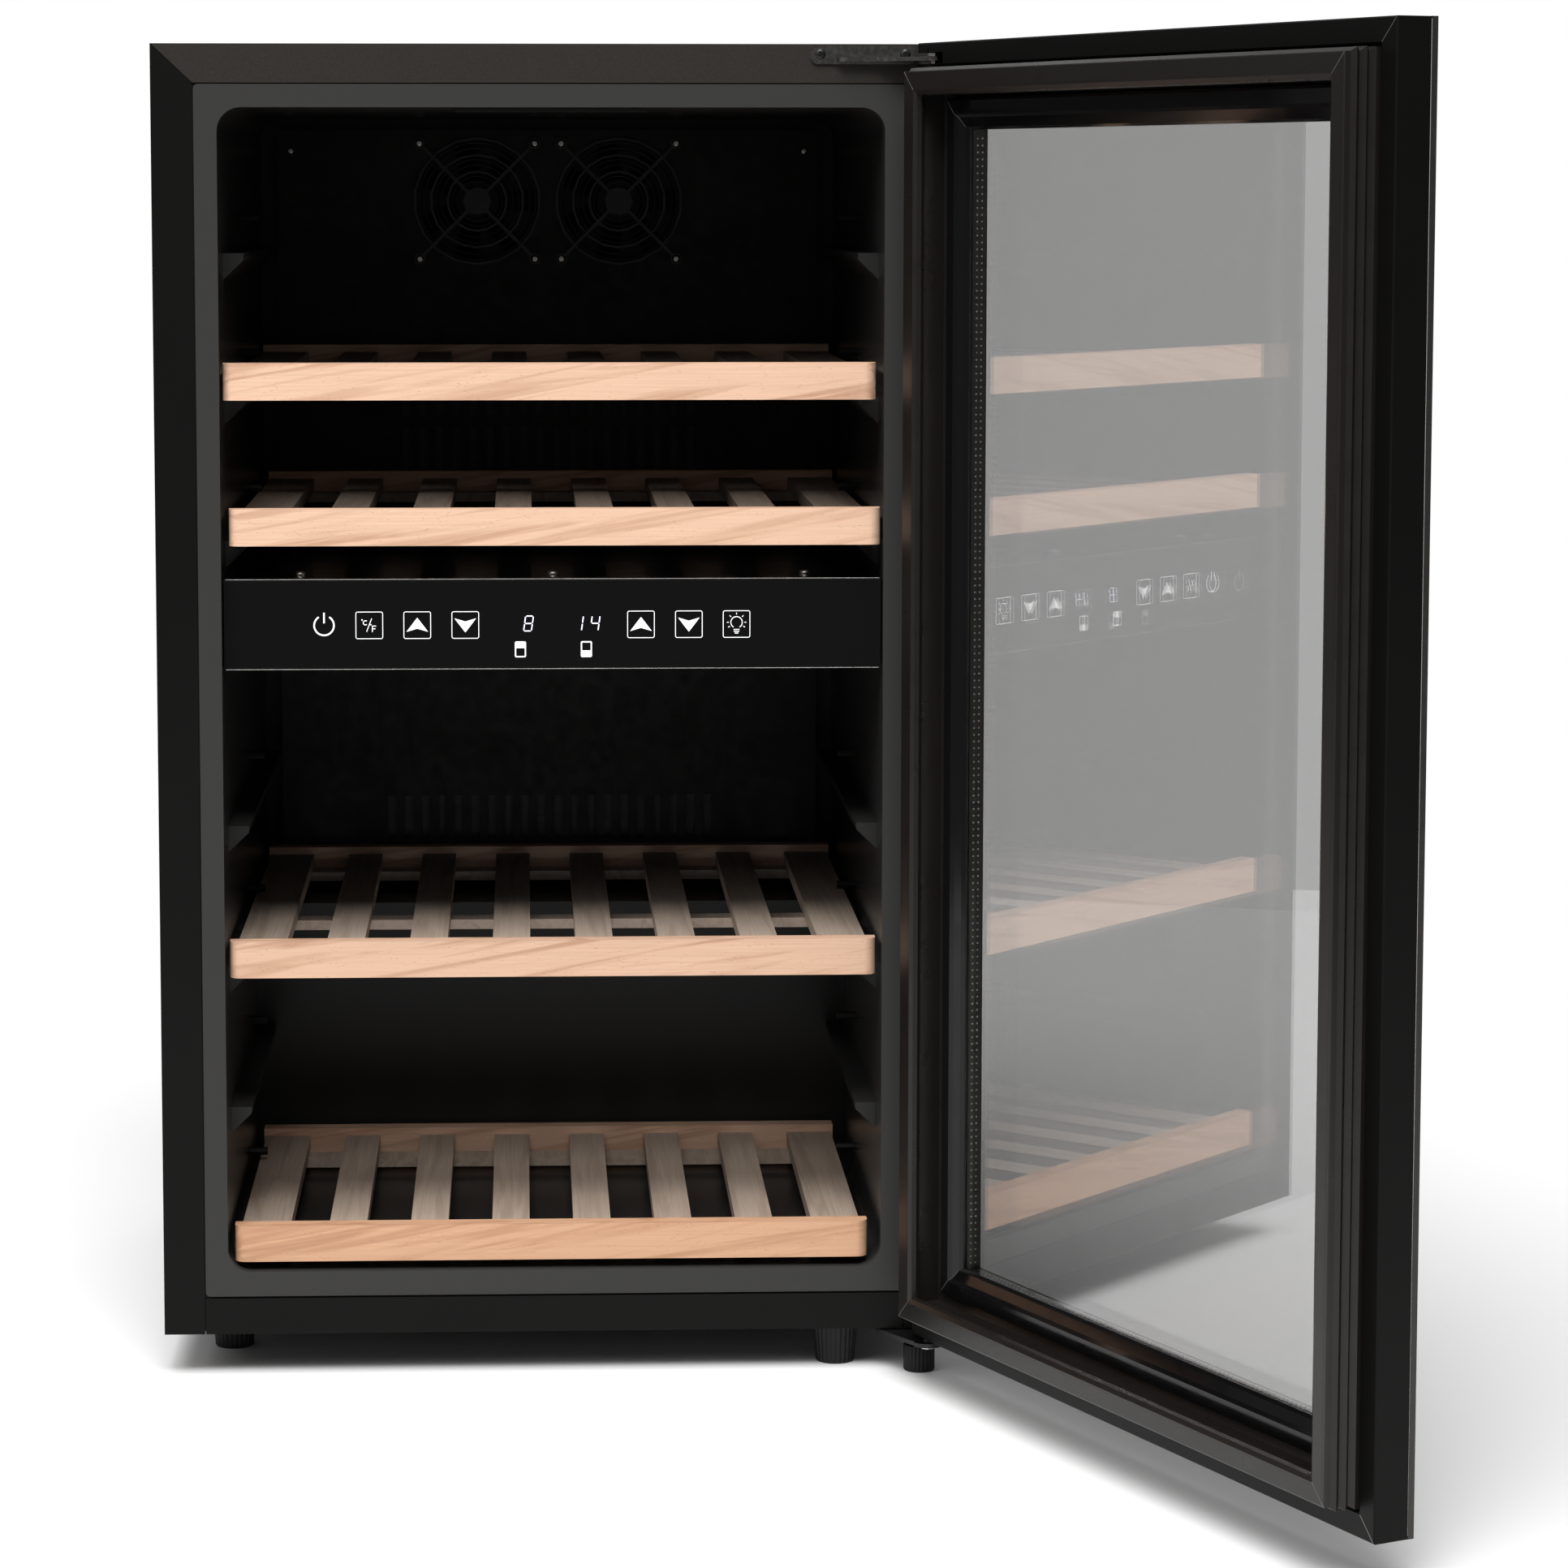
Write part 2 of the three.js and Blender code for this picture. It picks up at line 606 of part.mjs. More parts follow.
function frontRail(width) {
  const half = width / 2;
  const shape = new THREE.Shape();
  const r = 7;
  shape.moveTo(-half, RAIL_THICKNESS);
  shape.lineTo(-half, r);
  shape.absarc(-half + r, r, r, Math.PI, 1.5 * Math.PI);
  shape.lineTo(half - r, 0);
  shape.absarc(half - r, r, r, 1.5 * Math.PI, 2 * Math.PI);
  shape.lineTo(half, RAIL_THICKNESS);
  return flat(shape, -RAIL_HEIGHT, 0, 4);
}

function slatRack(width, depth, battenPlaces) {
  const [start, end] = [RAIL_THICKNESS + GAP, depth - 14 - GAP];
  const half = width / 2 - 1;
  const top = -SLAT_DROP;
  const bottom = top - SLAT_THICKNESS;
  const slats = [];
  for (let i = 0; i < 8; i += 1) {
    const spread = (width - 36) / 7;
    const middle = (i - 3.5) * spread;
    const slatHalf = i === 0 || i === 7 ? 15.5 : 12;
    slats.push(box(middle - slatHalf, middle + slatHalf, start, end, bottom, top));
  }
  const battens = battenPlaces.map((y) =>
    box(-half, half, y, y + 20, -RAIL_HEIGHT, bottom + 0.5));
  return join(...battens, ...slats);
}

function rearRail(width, depth) {
  return box(-width / 2 + 1, width / 2 - 1, depth - 14, depth, -RAIL_HEIGHT, -3);
}

const shelves = [
  { name: 'shelf_1', place: 6, width: 408, depth: 440, x: -1.5, battens: [183, 395] },
  { name: 'shelf_2', place: 5, width: 408, depth: 440, x: 1.5, battens: [183, 395] },
  { name: 'shelf_3', place: 2, width: 408, depth: 440, x: -0.5, battens: [183, 395] },
  { name: 'shelf_4', place: 0, width: 402, depth: 322, x: -2, battens: [16, 272] },
];

// ---- assembly ----

const cooler = new THREE.Group();
const cabinet = new THREE.Group();
cabinet.position.y = -DEPTH / 2;
cooler.add(cabinet);

for (const [side, sign] of sides) {
  piece(cabinet, `side_panel_${side}`, sidePanel(sign), blackPaint);
  piece(cabinet, `guide_pins_${side}`, guidePins(sign), mattBlack);
  piece(cabinet, `fan_frame_${side}`, fanFrame(sign * FAN_X), mattBlack);
  piece(cabinet, `fan_guard_${side}`, fanGuard(sign * FAN_X), steelBlack);
  piece(cabinet, `foot_rear_${side}`, foot(sign * 205, 460), rubberBlack);
  const spin = new THREE.Group();
  spin.position.set(sign * FAN_X, fanFront + 1, FAN_Z);
  piece(spin, `fan_rotor_${side}`, fanRotor(), mattBlack);
  cabinet.add(spin);
}
const halfInside = WIDTH / 2 - SHEET - GAP;
const upperOpenings = [
  ...slotRow(9, 520.5, 551.8),
  ...slotRow(9, 558.3, 590),
  ...sides.map(([, sign]) => rod('y', 42, 440, 460, sign * FAN_X, FAN_Z, 24)),
];
const rearPanel = box(-halfInside, halfInside, DEPTH - 2.8, DEPTH - SHEET - GAP, BAY_TOP + 3,
  HEIGHT - SHEET - GAP);
piece(cabinet, 'top_panel', topPanel(), blackPaint);
piece(cabinet, 'front_bottom_rail', bottomRail(), blackPaint);
piece(cabinet, 'rear_panel', rearPanel, blackPaint);
piece(cabinet, 'base_pan', basePan(), steelBlack);
piece(cabinet, 'inner_liner', innerLiner(), greySatin);
piece(cabinet, 'foam_insulation', foam(), foamCream);
piece(cabinet, 'back_cover_upper', airCover(480.5, 765, upperOpenings), mattBlack);
piece(cabinet, 'back_cover_lower', airCover(223.5, 421, slotRow(10, 251, 282)), mattBlack);
piece(cabinet, 'evaporator_upper', coldPlate(490, 650), zinc);
piece(cabinet, 'evaporator_lower', coldPlate(232, 412), zinc);
piece(cabinet, 'divider_housing', dividerHousing(), mattBlack);
piece(cabinet, 'divider_cover', box(-206.4, 206.4, 12, 449, 477, 479.2), glossBlack);
piece(cabinet, 'control_panel', controlPanel(), glossBlack);
piece(cabinet, 'control_board', controlBoard(), boardGreen);
piece(cabinet, 'lamp_upper', box(-60, 60, 40, 56, 770.6, CAVITY_TOP - GAP), lampWhite);
piece(cabinet, 'lamp_lower', box(-59.5, 59.5, 30.5, 45.5, 422.5, 426), lampWhite);
piece(cabinet, 'top_hinge_bracket', topHinge(), zinc);
piece(cabinet, 'bottom_hinge_bracket', bottomHinge(), zinc);
piece(cabinet, 'top_hinge_pin', hingePin(787, 805, 803.8, 805.6), zinc);
piece(cabinet, 'bottom_hinge_pin', hingePin(-5, 12, -6.4, -4.3), zinc);
piece(cabinet, 'foot_front_left', foot(-208.6, 80), rubberBlack);
piece(cabinet, 'foot_front_right', foot(180, 28), rubberBlack);
piece(cabinet, 'foot_hinge', hingeFoot(), rubberBlack);
piece(cabinet, 'compressor', compressor(), steelBlack);
piece(cabinet, 'terminal_box', box(-20, -1.5, 415, 441, 50, 95), mattBlack);
piece(cabinet, 'drip_tray', dripTray(), mattBlack);
piece(cabinet, 'condenser', condenser(), steelBlack);
piece(cabinet, 'power_inlet', powerInlet(), mattBlack);

const door = new THREE.Group();
door.position.set(HINGE_X, HINGE_Y, 0);
door.rotation.z = THREE.MathUtils.degToRad(DOOR_OPEN_DEG);
cabinet.add(door);
const spacerSection = [[46.6, DOOR_GLASS_BACK + GAP], [46.6, -7.3], [51.6, -7.3],
  [51.6, DOOR_GLASS_BACK + GAP]];
piece(door, 'door_frame', doorFrame(), blackPaint);
piece(door, 'door_front_glass', doorPane(0, DOOR_GLASS_FRONT, DOOR_GLASS_BACK), smokedGlass);
piece(door, 'door_inner_glass', doorPane(46, -7, -3.2), smokedGlass);
piece(door, 'door_glazing_spacer', doorRing(spacerSection), spacerGrey);
piece(door, 'door_inner_frame', doorInnerFrame(), glossBlack);
piece(door, 'door_gasket', doorGasket(), rubberBlack);
piece(door, 'door_bush_top', bush(786.4, 798.6), mattBlack);
piece(door, 'door_bush_bottom', bush(0.2, 13.6), mattBlack);

for (const { name, place, width, depth, x, battens } of shelves) {
  const shelf = new THREE.Group();
  shelf.position.set(x, RAIL_FRONT, shelfTop(place));
  piece(shelf, `${name}_front_rail`, frontRail(width), beech);
  piece(shelf, `${name}_slats`, slatRack(width, depth, battens), beech);
  piece(shelf, `${name}_rear_rail`, rearRail(width, depth), beech);
  cabinet.add(shelf);
}

export default cooler;
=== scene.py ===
"""Two-zone wine cooler, door open: materials, fine pieces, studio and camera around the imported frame."""

import json
import math

import bmesh
import bpy
from mathutils import Matrix, Vector


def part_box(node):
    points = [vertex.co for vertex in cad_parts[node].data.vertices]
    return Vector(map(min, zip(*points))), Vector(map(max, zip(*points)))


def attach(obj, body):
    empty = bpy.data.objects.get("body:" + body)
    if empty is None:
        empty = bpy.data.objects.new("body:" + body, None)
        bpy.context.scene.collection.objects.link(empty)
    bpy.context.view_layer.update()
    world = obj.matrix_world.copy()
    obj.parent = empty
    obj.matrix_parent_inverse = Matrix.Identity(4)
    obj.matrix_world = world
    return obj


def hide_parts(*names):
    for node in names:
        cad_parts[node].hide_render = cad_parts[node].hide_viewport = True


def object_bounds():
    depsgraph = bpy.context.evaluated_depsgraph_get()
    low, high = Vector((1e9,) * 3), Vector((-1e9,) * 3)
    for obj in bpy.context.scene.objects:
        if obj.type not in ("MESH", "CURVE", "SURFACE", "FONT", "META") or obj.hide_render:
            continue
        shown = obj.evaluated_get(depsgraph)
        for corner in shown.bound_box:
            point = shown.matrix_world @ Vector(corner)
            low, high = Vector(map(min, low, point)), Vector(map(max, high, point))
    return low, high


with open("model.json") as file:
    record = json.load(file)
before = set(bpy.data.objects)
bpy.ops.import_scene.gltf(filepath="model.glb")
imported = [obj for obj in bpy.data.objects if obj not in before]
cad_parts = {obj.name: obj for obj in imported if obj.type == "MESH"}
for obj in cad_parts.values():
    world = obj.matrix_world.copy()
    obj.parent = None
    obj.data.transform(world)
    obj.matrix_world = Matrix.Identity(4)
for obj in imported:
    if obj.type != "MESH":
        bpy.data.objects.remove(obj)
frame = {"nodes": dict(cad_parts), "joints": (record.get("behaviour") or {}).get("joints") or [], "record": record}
cad_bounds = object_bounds()
nodes = frame["nodes"]
scene = bpy.context.scene
MM = 0.001

# ---- camera ----

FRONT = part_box("side_panel_left")[0].y
camera_data = bpy.data.cameras.new("camera")
camera_data.sensor_width = 36
camera_data.lens = 101.87
camera_data.shift_x = 0.06
camera_data.shift_y = -0.10
camera_data.clip_end = 50
camera = bpy.data.objects.new("camera", camera_data)
camera.location = (-0.0178, FRONT - 2.765, 0.7217)
camera.rotation_euler = (math.radians(90 - 5.621), 0, math.radians(-2.141))
scene.collection.objects.link(camera)
scene.camera = camera
scene.view_settings.view_transform = "Standard"

# ---- places taken from the frame ----

CASE_LOW, CASE_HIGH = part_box("side_panel_left")[0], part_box("side_panel_right")[1]
PANEL_LOW, PANEL_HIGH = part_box("control_panel")
COVER_LOW, COVER_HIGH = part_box("back_cover_upper")
DIVIDER_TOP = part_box("divider_cover")[1].z
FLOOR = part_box("foot_rear_left")[0].z
DOOR_JOINT = next(j for j in frame["joints"] if j["name"] == "door_hinge")
DOOR_ANGLE = math.radians(-DOOR_JOINT["range_deg"][0])
DOOR_PLACE = Matrix.Translation((DOOR_JOINT["pos_m"][0], DOOR_JOINT["pos_m"][1], 0)) @ Matrix.Rotation(
    DOOR_ANGLE, 4, "Z"
)
DOOR_WIDTH = CASE_HIGH.x - CASE_LOW.x
DOOR_HEIGHT = CASE_HIGH.z - CASE_LOW.z
DOOR_EDGE = CASE_HIGH.x - DOOR_JOINT["pos_m"][0]


# ---- material helpers ----


class Shader:
    """One node material: a Principled shader and short ways to add to it."""

    def __init__(self, name, color, roughness, metallic=0.0, **sockets):
        self.material = bpy.data.materials.new(name)
        self.material.use_nodes = True
        self.nodes = self.material.node_tree.nodes
        self.links = self.material.node_tree.links
        self.shader = self.nodes["Principled BSDF"]
        self.set("Base Color", (*color, 1))
        self.set("Roughness", roughness)
        self.set("Metallic", metallic)
        for socket, value in sockets.items():
            self.set(socket.replace("_", " "), value)
        self.place = self.node("ShaderNodeTexCoord").outputs["Object"]

    def set(self, socket, value):
        self.shader.inputs[socket].default_value = value

    def node(self, kind, **settings):
        node = self.nodes.new(kind)
        for key, value in settings.items():
            setattr(node, key, value)
        return node

    def link(self, output, target, socket):
        self.links.new(output, target.inputs[socket])

    def stretched(self, scale, tilt=0.0):
        """The object's own place, turned about y by tilt and then scaled."""
        turned = self.node("ShaderNodeMapping")
        turned.inputs["Rotation"].default_value = (0, tilt, 0)
        self.link(self.place, turned, "Vector")
        mapping = self.node("ShaderNodeMapping")
        mapping.inputs["Scale"].default_value = scale
        self.link(turned.outputs["Vector"], mapping, "Vector")
        return mapping.outputs["Vector"]

    def noise(self, scale, detail=4.0, distortion=0.0, tilt=0.0):
        texture = self.node("ShaderNodeTexNoise")
        texture.inputs["Scale"].default_value = 1.0
        texture.inputs["Detail"].default_value = detail
        texture.inputs["Distortion"].default_value = distortion
        self.link(self.stretched(scale, tilt), texture, "Vector")
        return texture.outputs["Fac"]

    def span(self, value, low, high, to_low, to_high):
        ranged = self.node("ShaderNodeMapRange")
        for socket, number in zip(("From Min", "From Max", "To Min", "To Max"), (low, high, to_low, to_high)):
            ranged.inputs[socket].default_value = number
        self.link(value, ranged, "Value")
        return ranged.outputs["Result"]

    def mix(self, factor, first, second):
        blend = self.node("ShaderNodeMix", data_type="RGBA")
        for socket, color in ((6, first), (7, second)):
            if isinstance(color, tuple):
                blend.inputs[socket].default_value = (*color, 1)
            else:
                self.links.new(color, blend.inputs[socket])
        self.link(factor, blend, "Factor")
        return blend.outputs[2]

    def color(self, output):
        self.link(output, self.shader, "Base Color")

    def roughness(self, value, low, high):
        self.link(self.span(value, 0.3, 0.7, low, high), self.shader, "Roughness")

    def bump(self, value, distance, strength=1.0):
        bump = self.node("ShaderNodeBump")
        bump.inputs["Distance"].default_value = distance
        bump.inputs["Strength"].default_value = strength
        self.link(value, bump, "Height")
        self.link(bump.outputs["Normal"], self.shader, "Normal")


def even(scale):
    return (scale, scale, scale)


def black_paint(lit_front=False):
    """Powder coat. With lit_front, the top panel's front lip gets a paler, speckled colour as a painted highlight
    for the light that lip catches.
    """
    m = Shader("black_powder_paint", (0.0035, 0.0033, 0.003), 0.42, Specular_IOR_Level=0.12)
    peel = m.noise(even(620), 3.0)
    patches = m.noise(even(9), 3.0)
    shade = m.mix(patches, (0.0032, 0.0030, 0.0028), (0.0042, 0.0039, 0.0036))
    if lit_front:
        parts = m.node("ShaderNodeSeparateXYZ")
        m.link(m.place, parts, "Vector")
        # painted highlight: the top panel's front lip is made paler, standing in for the light falling on it
        face = m.span(parts.outputs["Y"], FRONT + 0.3 * MM, FRONT + 1.2 * MM, 1, 0)
        painted_highlight = m.mix(m.noise(even(1300), 3.0), (0.014, 0.0125, 0.011), (0.040, 0.036, 0.032))
        shade = m.mix(face, shade, painted_highlight)
    m.color(shade)
    m.roughness(m.noise(even(14), 3.0), 0.39, 0.43)
    m.bump(peel, 0.00006, 0.35)
    return m.material


def liner_plastic():
    """Satin grey on the front flange, and gloss inside the cavity, where the colour is made near-black as painted
    shade in the recess.
    """
    m = Shader("liner_plastic", (0.02, 0.02, 0.02), 0.3, Specular_IOR_Level=0.13)
    parts = m.node("ShaderNodeSeparateXYZ")
    m.link(m.place, parts, "Vector")
    inside = m.span(parts.outputs["Y"], FRONT + 2.2 * MM, FRONT + 7 * MM, 0, 1)
    # painted shade: the liner's colour steps darker from the flange into the cavity, beyond 7 mm behind the front
    m.color(m.mix(inside, (0.037, 0.0365, 0.0355), (0.024, 0.0236, 0.0230)))
    m.link(m.span(inside, 0, 1, 0.40, 0.26), m.shader, "Roughness")
    m.bump(m.noise(even(900), 3.0), 0.00003, 0.5)
    return m.material


def gloss_black():
    coat = {"Coat_Weight": 0.08, "Coat_Roughness": 0.05}
    m = Shader("gloss_black", (0.0035, 0.0035, 0.0037), 0.12, Specular_IOR_Level=0.24, **coat)
    m.roughness(m.noise(even(55), 5.0), 0.08, 0.15)
    m.bump(m.noise(even(24), 2.0), 0.00002, 0.2)
    return m.material


def matt_black():
    m = Shader("matt_black_plastic", (0.006, 0.006, 0.006), 0.52, Specular_IOR_Level=0.3)
    m.color(m.mix(m.noise(even(18), 4.0), (0.0045, 0.0045, 0.0045), (0.0080, 0.0078, 0.0075)))
    m.roughness(m.noise(even(120), 4.0), 0.46, 0.60)
    m.bump(m.noise(even(1500), 2.0), 0.00005, 0.6)
    return m.material


def gasket_rubber():
    m = Shader("gasket_rubber", (0.008, 0.007, 0.0065), 0.32, Specular_IOR_Level=0.38)
    m.color(m.mix(m.noise(even(12), 3.0), (0.0085, 0.0072, 0.0064), (0.0115, 0.0098, 0.0088)))
    m.roughness(m.noise(even(60), 4.0), 0.26, 0.34)
    return m.material


def zinc_steel():
    m = Shader("zinc_plated_steel", (0.50, 0.49, 0.47), 0.30, 1.0)
    m.color(m.mix(m.noise(even(85), 5.0, 0.6), (0.40, 0.39, 0.37), (0.60, 0.59, 0.56)))
    m.roughness(m.noise((900, 60, 60), 4.0), 0.22, 0.38)
    m.bump(m.noise((1400, 90, 90), 3.0), 0.00002, 0.5)
    return m.material


def black_steel():
    m = Shader("black_enamelled_steel", (0.007, 0.007, 0.0075), 0.34, Specular_IOR_Level=0.4)
    m.color(m.mix(m.noise(even(26), 4.0), (0.0055, 0.0055, 0.006), (0.010, 0.010, 0.0105)))
    m.roughness(m.noise(even(70), 4.0), 0.28, 0.42)
    m.bump(m.noise(even(350), 3.0), 0.00005, 0.4)
    return m.material


def beech(name, along, light, dark):
    """Planed beech. along is the grain's axis, 0 for x and 1 for y."""
    m = Shader(name, light, 0.5, Specular_IOR_Level=0.4)

    def grained(length, across):
        return tuple(length if axis == along else across for axis in range(3))

    rings = m.noise(grained(5.0, 110), 4.0, 1.2, tilt=0.17 if along == 0 else 0.0)
    fibres = m.noise(grained(14, 900), 4.0, 0.2)
    broad = m.noise(grained(1.6, 16), 2.0, 0.3)
    flecks = m.node("ShaderNodeTexVoronoi", feature="F1")
    flecks.inputs["Scale"].default_value = 1.0
    m.link(m.stretched(grained(190, 950)), flecks, "Vector")
    fleck = m.span(flecks.outputs["Distance"], 0.10, 0.24, 1, 0)
    sparse = m.span(m.noise(grained(60, 260), 2.0), 0.48, 0.60, 0, 0.5)
    spots = m.node("ShaderNodeMath", operation="MULTIPLY")
    m.link(fleck, spots, 0)
    m.link(sparse, spots, 1)
    grain = m.mix(m.span(rings, 0.48, 0.63, 0, 1), light, dark)
    middle = tuple((a + b) / 2 for a, b in zip(light, dark))
    shaded = m.mix(m.span(fibres, 0.3, 0.7, 0.0, 0.5), grain, tuple(0.86 * c for c in middle))
    warmed = m.mix(m.span(broad, 0.35, 0.7, 0, 0.4), shaded, tuple(1.06 * c for c in light))
    m.color(m.mix(spots.outputs[0], warmed, tuple(0.60 * c for c in dark)))
    m.roughness(fibres, 0.44, 0.60)
    m.bump(fibres, 0.00006, 0.5)
    return m.material


def glass(name, tint, index):
    """Flat glass. The inner pane's index is high because its heat-reflecting coat makes it mirror more."""
    return Shader(name, tint, 0.0, Transmission_Weight=1.0, IOR=index).material


def spacer_metal():
    m = Shader("spacer_bar", (0.045, 0.043, 0.040), 0.38, 0.6)
    m.roughness(m.noise(even(200), 3.0), 0.32, 0.46)
    return m.material


def foam():
    """Cream foam, with the black sealing tape that closes it off along its front and back edges."""
    m = Shader("polyurethane_foam", (0.66, 0.56, 0.33), 0.9)
    parts = m.node("ShaderNodeSeparateXYZ")
    m.link(m.place, parts, "Vector")
    cream = m.mix(m.noise(even(30), 5.0), (0.60, 0.50, 0.28), (0.72, 0.62, 0.38))
    front = m.span(parts.outputs["Y"], FRONT + 24 * MM, FRONT + 25 * MM, 1, 0)
    back = m.span(parts.outputs["Y"], CASE_HIGH.y - 12 * MM, CASE_HIGH.y - 11 * MM, 0, 1)
    tape = (0.003, 0.003, 0.003)
    m.color(m.mix(back, m.mix(front, cream, tape), tape))
    m.bump(m.noise(even(300), 4.0), 0.0005, 0.7)
    return m.material


def circuit_board():
    m = Shader("circuit_board", (0.01, 0.08, 0.03), 0.4)
    m.color(m.mix(m.noise(even(240), 2.0), (0.008, 0.06, 0.022), (0.016, 0.11, 0.04)))
    return m.material


def cold_plate():
    """Aluminium with a dark epoxy coat, as cold plates behind air slots have."""
    m = Shader("coated_cold_plate", (0.016, 0.016, 0.017), 0.5)
    m.color(m.mix(m.noise(even(25), 4.0), (0.012, 0.012, 0.013), (0.021, 0.021, 0.022)))
    m.roughness(m.noise((20, 500, 500), 4.0), 0.44, 0.58)
    return m.material


def dark_zinc():
    m = Shader("dark_zinc_hinge", (0.16, 0.155, 0.15), 0.28, 1.0)
    m.color(m.mix(m.noise(even(130), 5.0, 0.6), (0.10, 0.097, 0.094), (0.24, 0.235, 0.225)))
    m.roughness(m.noise(even(300), 4.0), 0.20, 0.34)
    m.bump(m.noise(even(260), 3.0), 0.00004, 0.4)
    return m.material


def smoked_diffuser():
    m = Shader("smoked_lamp_diffuser", (0.008, 0.008, 0.008), 0.3, Specular_IOR_Level=0.3)
    m.color(m.mix(m.noise(even(90), 3.0), (0.006, 0.006, 0.006), (0.010, 0.010, 0.010)))
    return m.material


def print_white():
    # the white print is real ink; its emission is a painted glow, since the print is no lamp
    m = Shader("printed_white_painted_glow", (0.82, 0.82, 0.83), 0.5, Emission_Strength=0.55)
    m.set("Emission Color", (1, 1, 1, 1))
    m.color(m.mix(m.noise(even(900), 2.0), (0.78, 0.78, 0.79), (0.86, 0.86, 0.87)))
    return m.material


def display_light():
    m = Shader("display_light", (0.75, 0.72, 0.9), 0.5, Emission_Strength=1.1)
    m.set("Emission Color", (0.86, 0.82, 1.0, 1))
    m.color(m.mix(m.noise(even(700), 2.0), (0.70, 0.68, 0.86), (0.80, 0.78, 0.92)))
    return m.material


def painted_seam_highlight():
    # painted highlight: the seams' pale colour stands in for light caught along the mitre joints
    m = Shader("painted_seam_highlight", (0.065, 0.060, 0.055), 0.45)
    m.color(m.mix(m.noise(even(400), 3.0), (0.050, 0.046, 0.042), (0.080, 0.074, 0.068)))
    return m.material


RAIL_LIGHT, RAIL_DARK = (0.78, 0.515, 0.365), (0.50, 0.275, 0.17)
# painted shade: the slats are the rails' beech drawn much darker and greyer, standing in for the shade inside the
# cabinet
SLAT_SHADED_LIGHT, SLAT_SHADED_DARK = (0.46, 0.365, 0.295), (0.34, 0.26, 0.20)
# The lowest two shelf fronts are made slightly darker and warmer, as painted shade for the weaker light low in the
# cabinet
LOW_RAIL_PAINTED_SHADE = {"shelf_3_front_rail": (0.87, 0.86, 0.85), "shelf_4_front_rail": (0.78, 0.69, 0.60)}


def toned(color, tone):
    return tuple(c * t for c, t in zip(color, tone))


rail_wood = beech("beech_rail", 0, RAIL_LIGHT, RAIL_DARK)
# slat wood carries painted shade in its darker, greyer colours
slat_wood = beech("beech_slats_painted_shade", 1, SLAT_SHADED_LIGHT, SLAT_SHADED_DARK)
materials = {
    "black_paint": black_paint(),
    "grey_liner": liner_plastic(),
    "gloss_black": gloss_black(),
    "matt_black": matt_black(),
    "gasket_rubber": gasket_rubber(),
    "zinc_steel": zinc_steel(),
    "black_steel": black_steel(),
    "beech": rail_wood,
    "foam": foam(),
    "smoked_glass": glass("smoked_glass", (0.47, 0.465, 0.465), 1.55),
    "clear_glass": glass("clear_glass", (0.90, 0.905, 0.90), 1.9),
    "spacer": spacer_metal(),
    "lamp": smoked_diffuser(),
    "circuit_board": circuit_board(),
    "cold_plate": cold_plate(),
}
# Pieces that don't wear their slot's usual material
SPECIAL = {
    "top_panel": black_paint(lit_front=True),
    "top_hinge_bracket": dark_zinc(),
    "bottom_hinge_bracket": materials["black_steel"],
}
# darker, warmer copies of the rail beech: painted shade on the lowest shelf fronts
for board, tone in LOW_RAIL_PAINTED_SHADE.items():
    SPECIAL[board] = beech(f"beech_{board}", 0, toned(RAIL_LIGHT, tone), toned(RAIL_DARK, tone))
PRINT_WHITE = print_white()
DISPLAY_LIGHT = display_light()
SEAM_HIGHLIGHT = painted_seam_highlight()

# Edge rounding of the carried-over CAD pieces, in millimetres
SOFT_EDGES = {
    "side_panel_left": 0.5,
    "side_panel_right": 0.5,
    "top_panel": 0.5,
    "front_bottom_rail": 0.5,
    "inner_liner": 0.6,
    "control_panel": 0.4,
    "divider_cover": 0.8,
    "divider_housing": 1.0,
    "door_frame": 0.6,
    "door_front_glass": 0.7,
    "door_inner_frame": 0.6,
    "door_gasket": 0.5,
    "top_hinge_bracket": 0.4,
    "bottom_hinge_bracket": 0.5,
    "terminal_box": 2.0,
    "power_inlet": 0.8,
    "drip_tray": 0.6,
}


def soften(piece, width):
    bevel = piece.modifiers.new("edges", "BEVEL")
    bevel.width = width * MM
    bevel.segments = 3
    bevel.limit_method = "ANGLE"
    bevel.angle_limit = math.radians(35)
    bevel.harden_normals = False


def dress_frame():
    for entry in frame["record"]["subparts"]:
        piece = nodes[entry["node"]]
        is_inner_wood = entry["node"].endswith("_slats")
        material = slat_wood if is_inner_wood else materials[entry["material_slot"]]
        material = SPECIAL.get(entry["node"], material)
        piece.data.materials.clear()
        piece.data.materials.append(material)
        if entry["material_slot"] == "beech":
            soften(piece, 1.4 if entry["node"].endswith("front_rail") else 0.9)
        elif entry["node"] in SOFT_EDGES:
            soften(piece, SOFT_EDGES[entry["node"]])


# ---- mesh and curve helpers ----


def finish_piece(piece, body, material):
    if not piece.data.materials:
        piece.data.materials.append(material)
    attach(piece, body)
    return piece


def mesh_object(name, bm, place=None):
    data = bpy.data.meshes.new(name)
    bmesh.ops.recalc_face_normals(bm, faces=bm.faces)
    bm.to_mesh(data)
    bm.free()
    piece = bpy.data.objects.new(name, data)
    scene.collection.objects.link(piece)
    if place is not None:
        piece.matrix_world = place
    bpy.context.view_layer.update()
    return piece


def smooth(piece, angle=35):
    for polygon in piece.data.polygons:
        polygon.use_smooth = True
    piece.data.set_sharp_from_angle(angle=math.radians(angle))
    return piece


def add_box(bm, low, high):
    xs, ys, zs = zip(low, high)
    verts = [bm.verts.new((x, y, z)) for x in xs for y in ys for z in zs]
    for corners in ((0, 1, 3, 2), (4, 6, 7, 5), (0, 4, 5, 1), (2, 3, 7, 6), (0, 2, 6, 4), (1, 5, 7, 3)):
        bm.faces.new([verts[i] for i in corners])


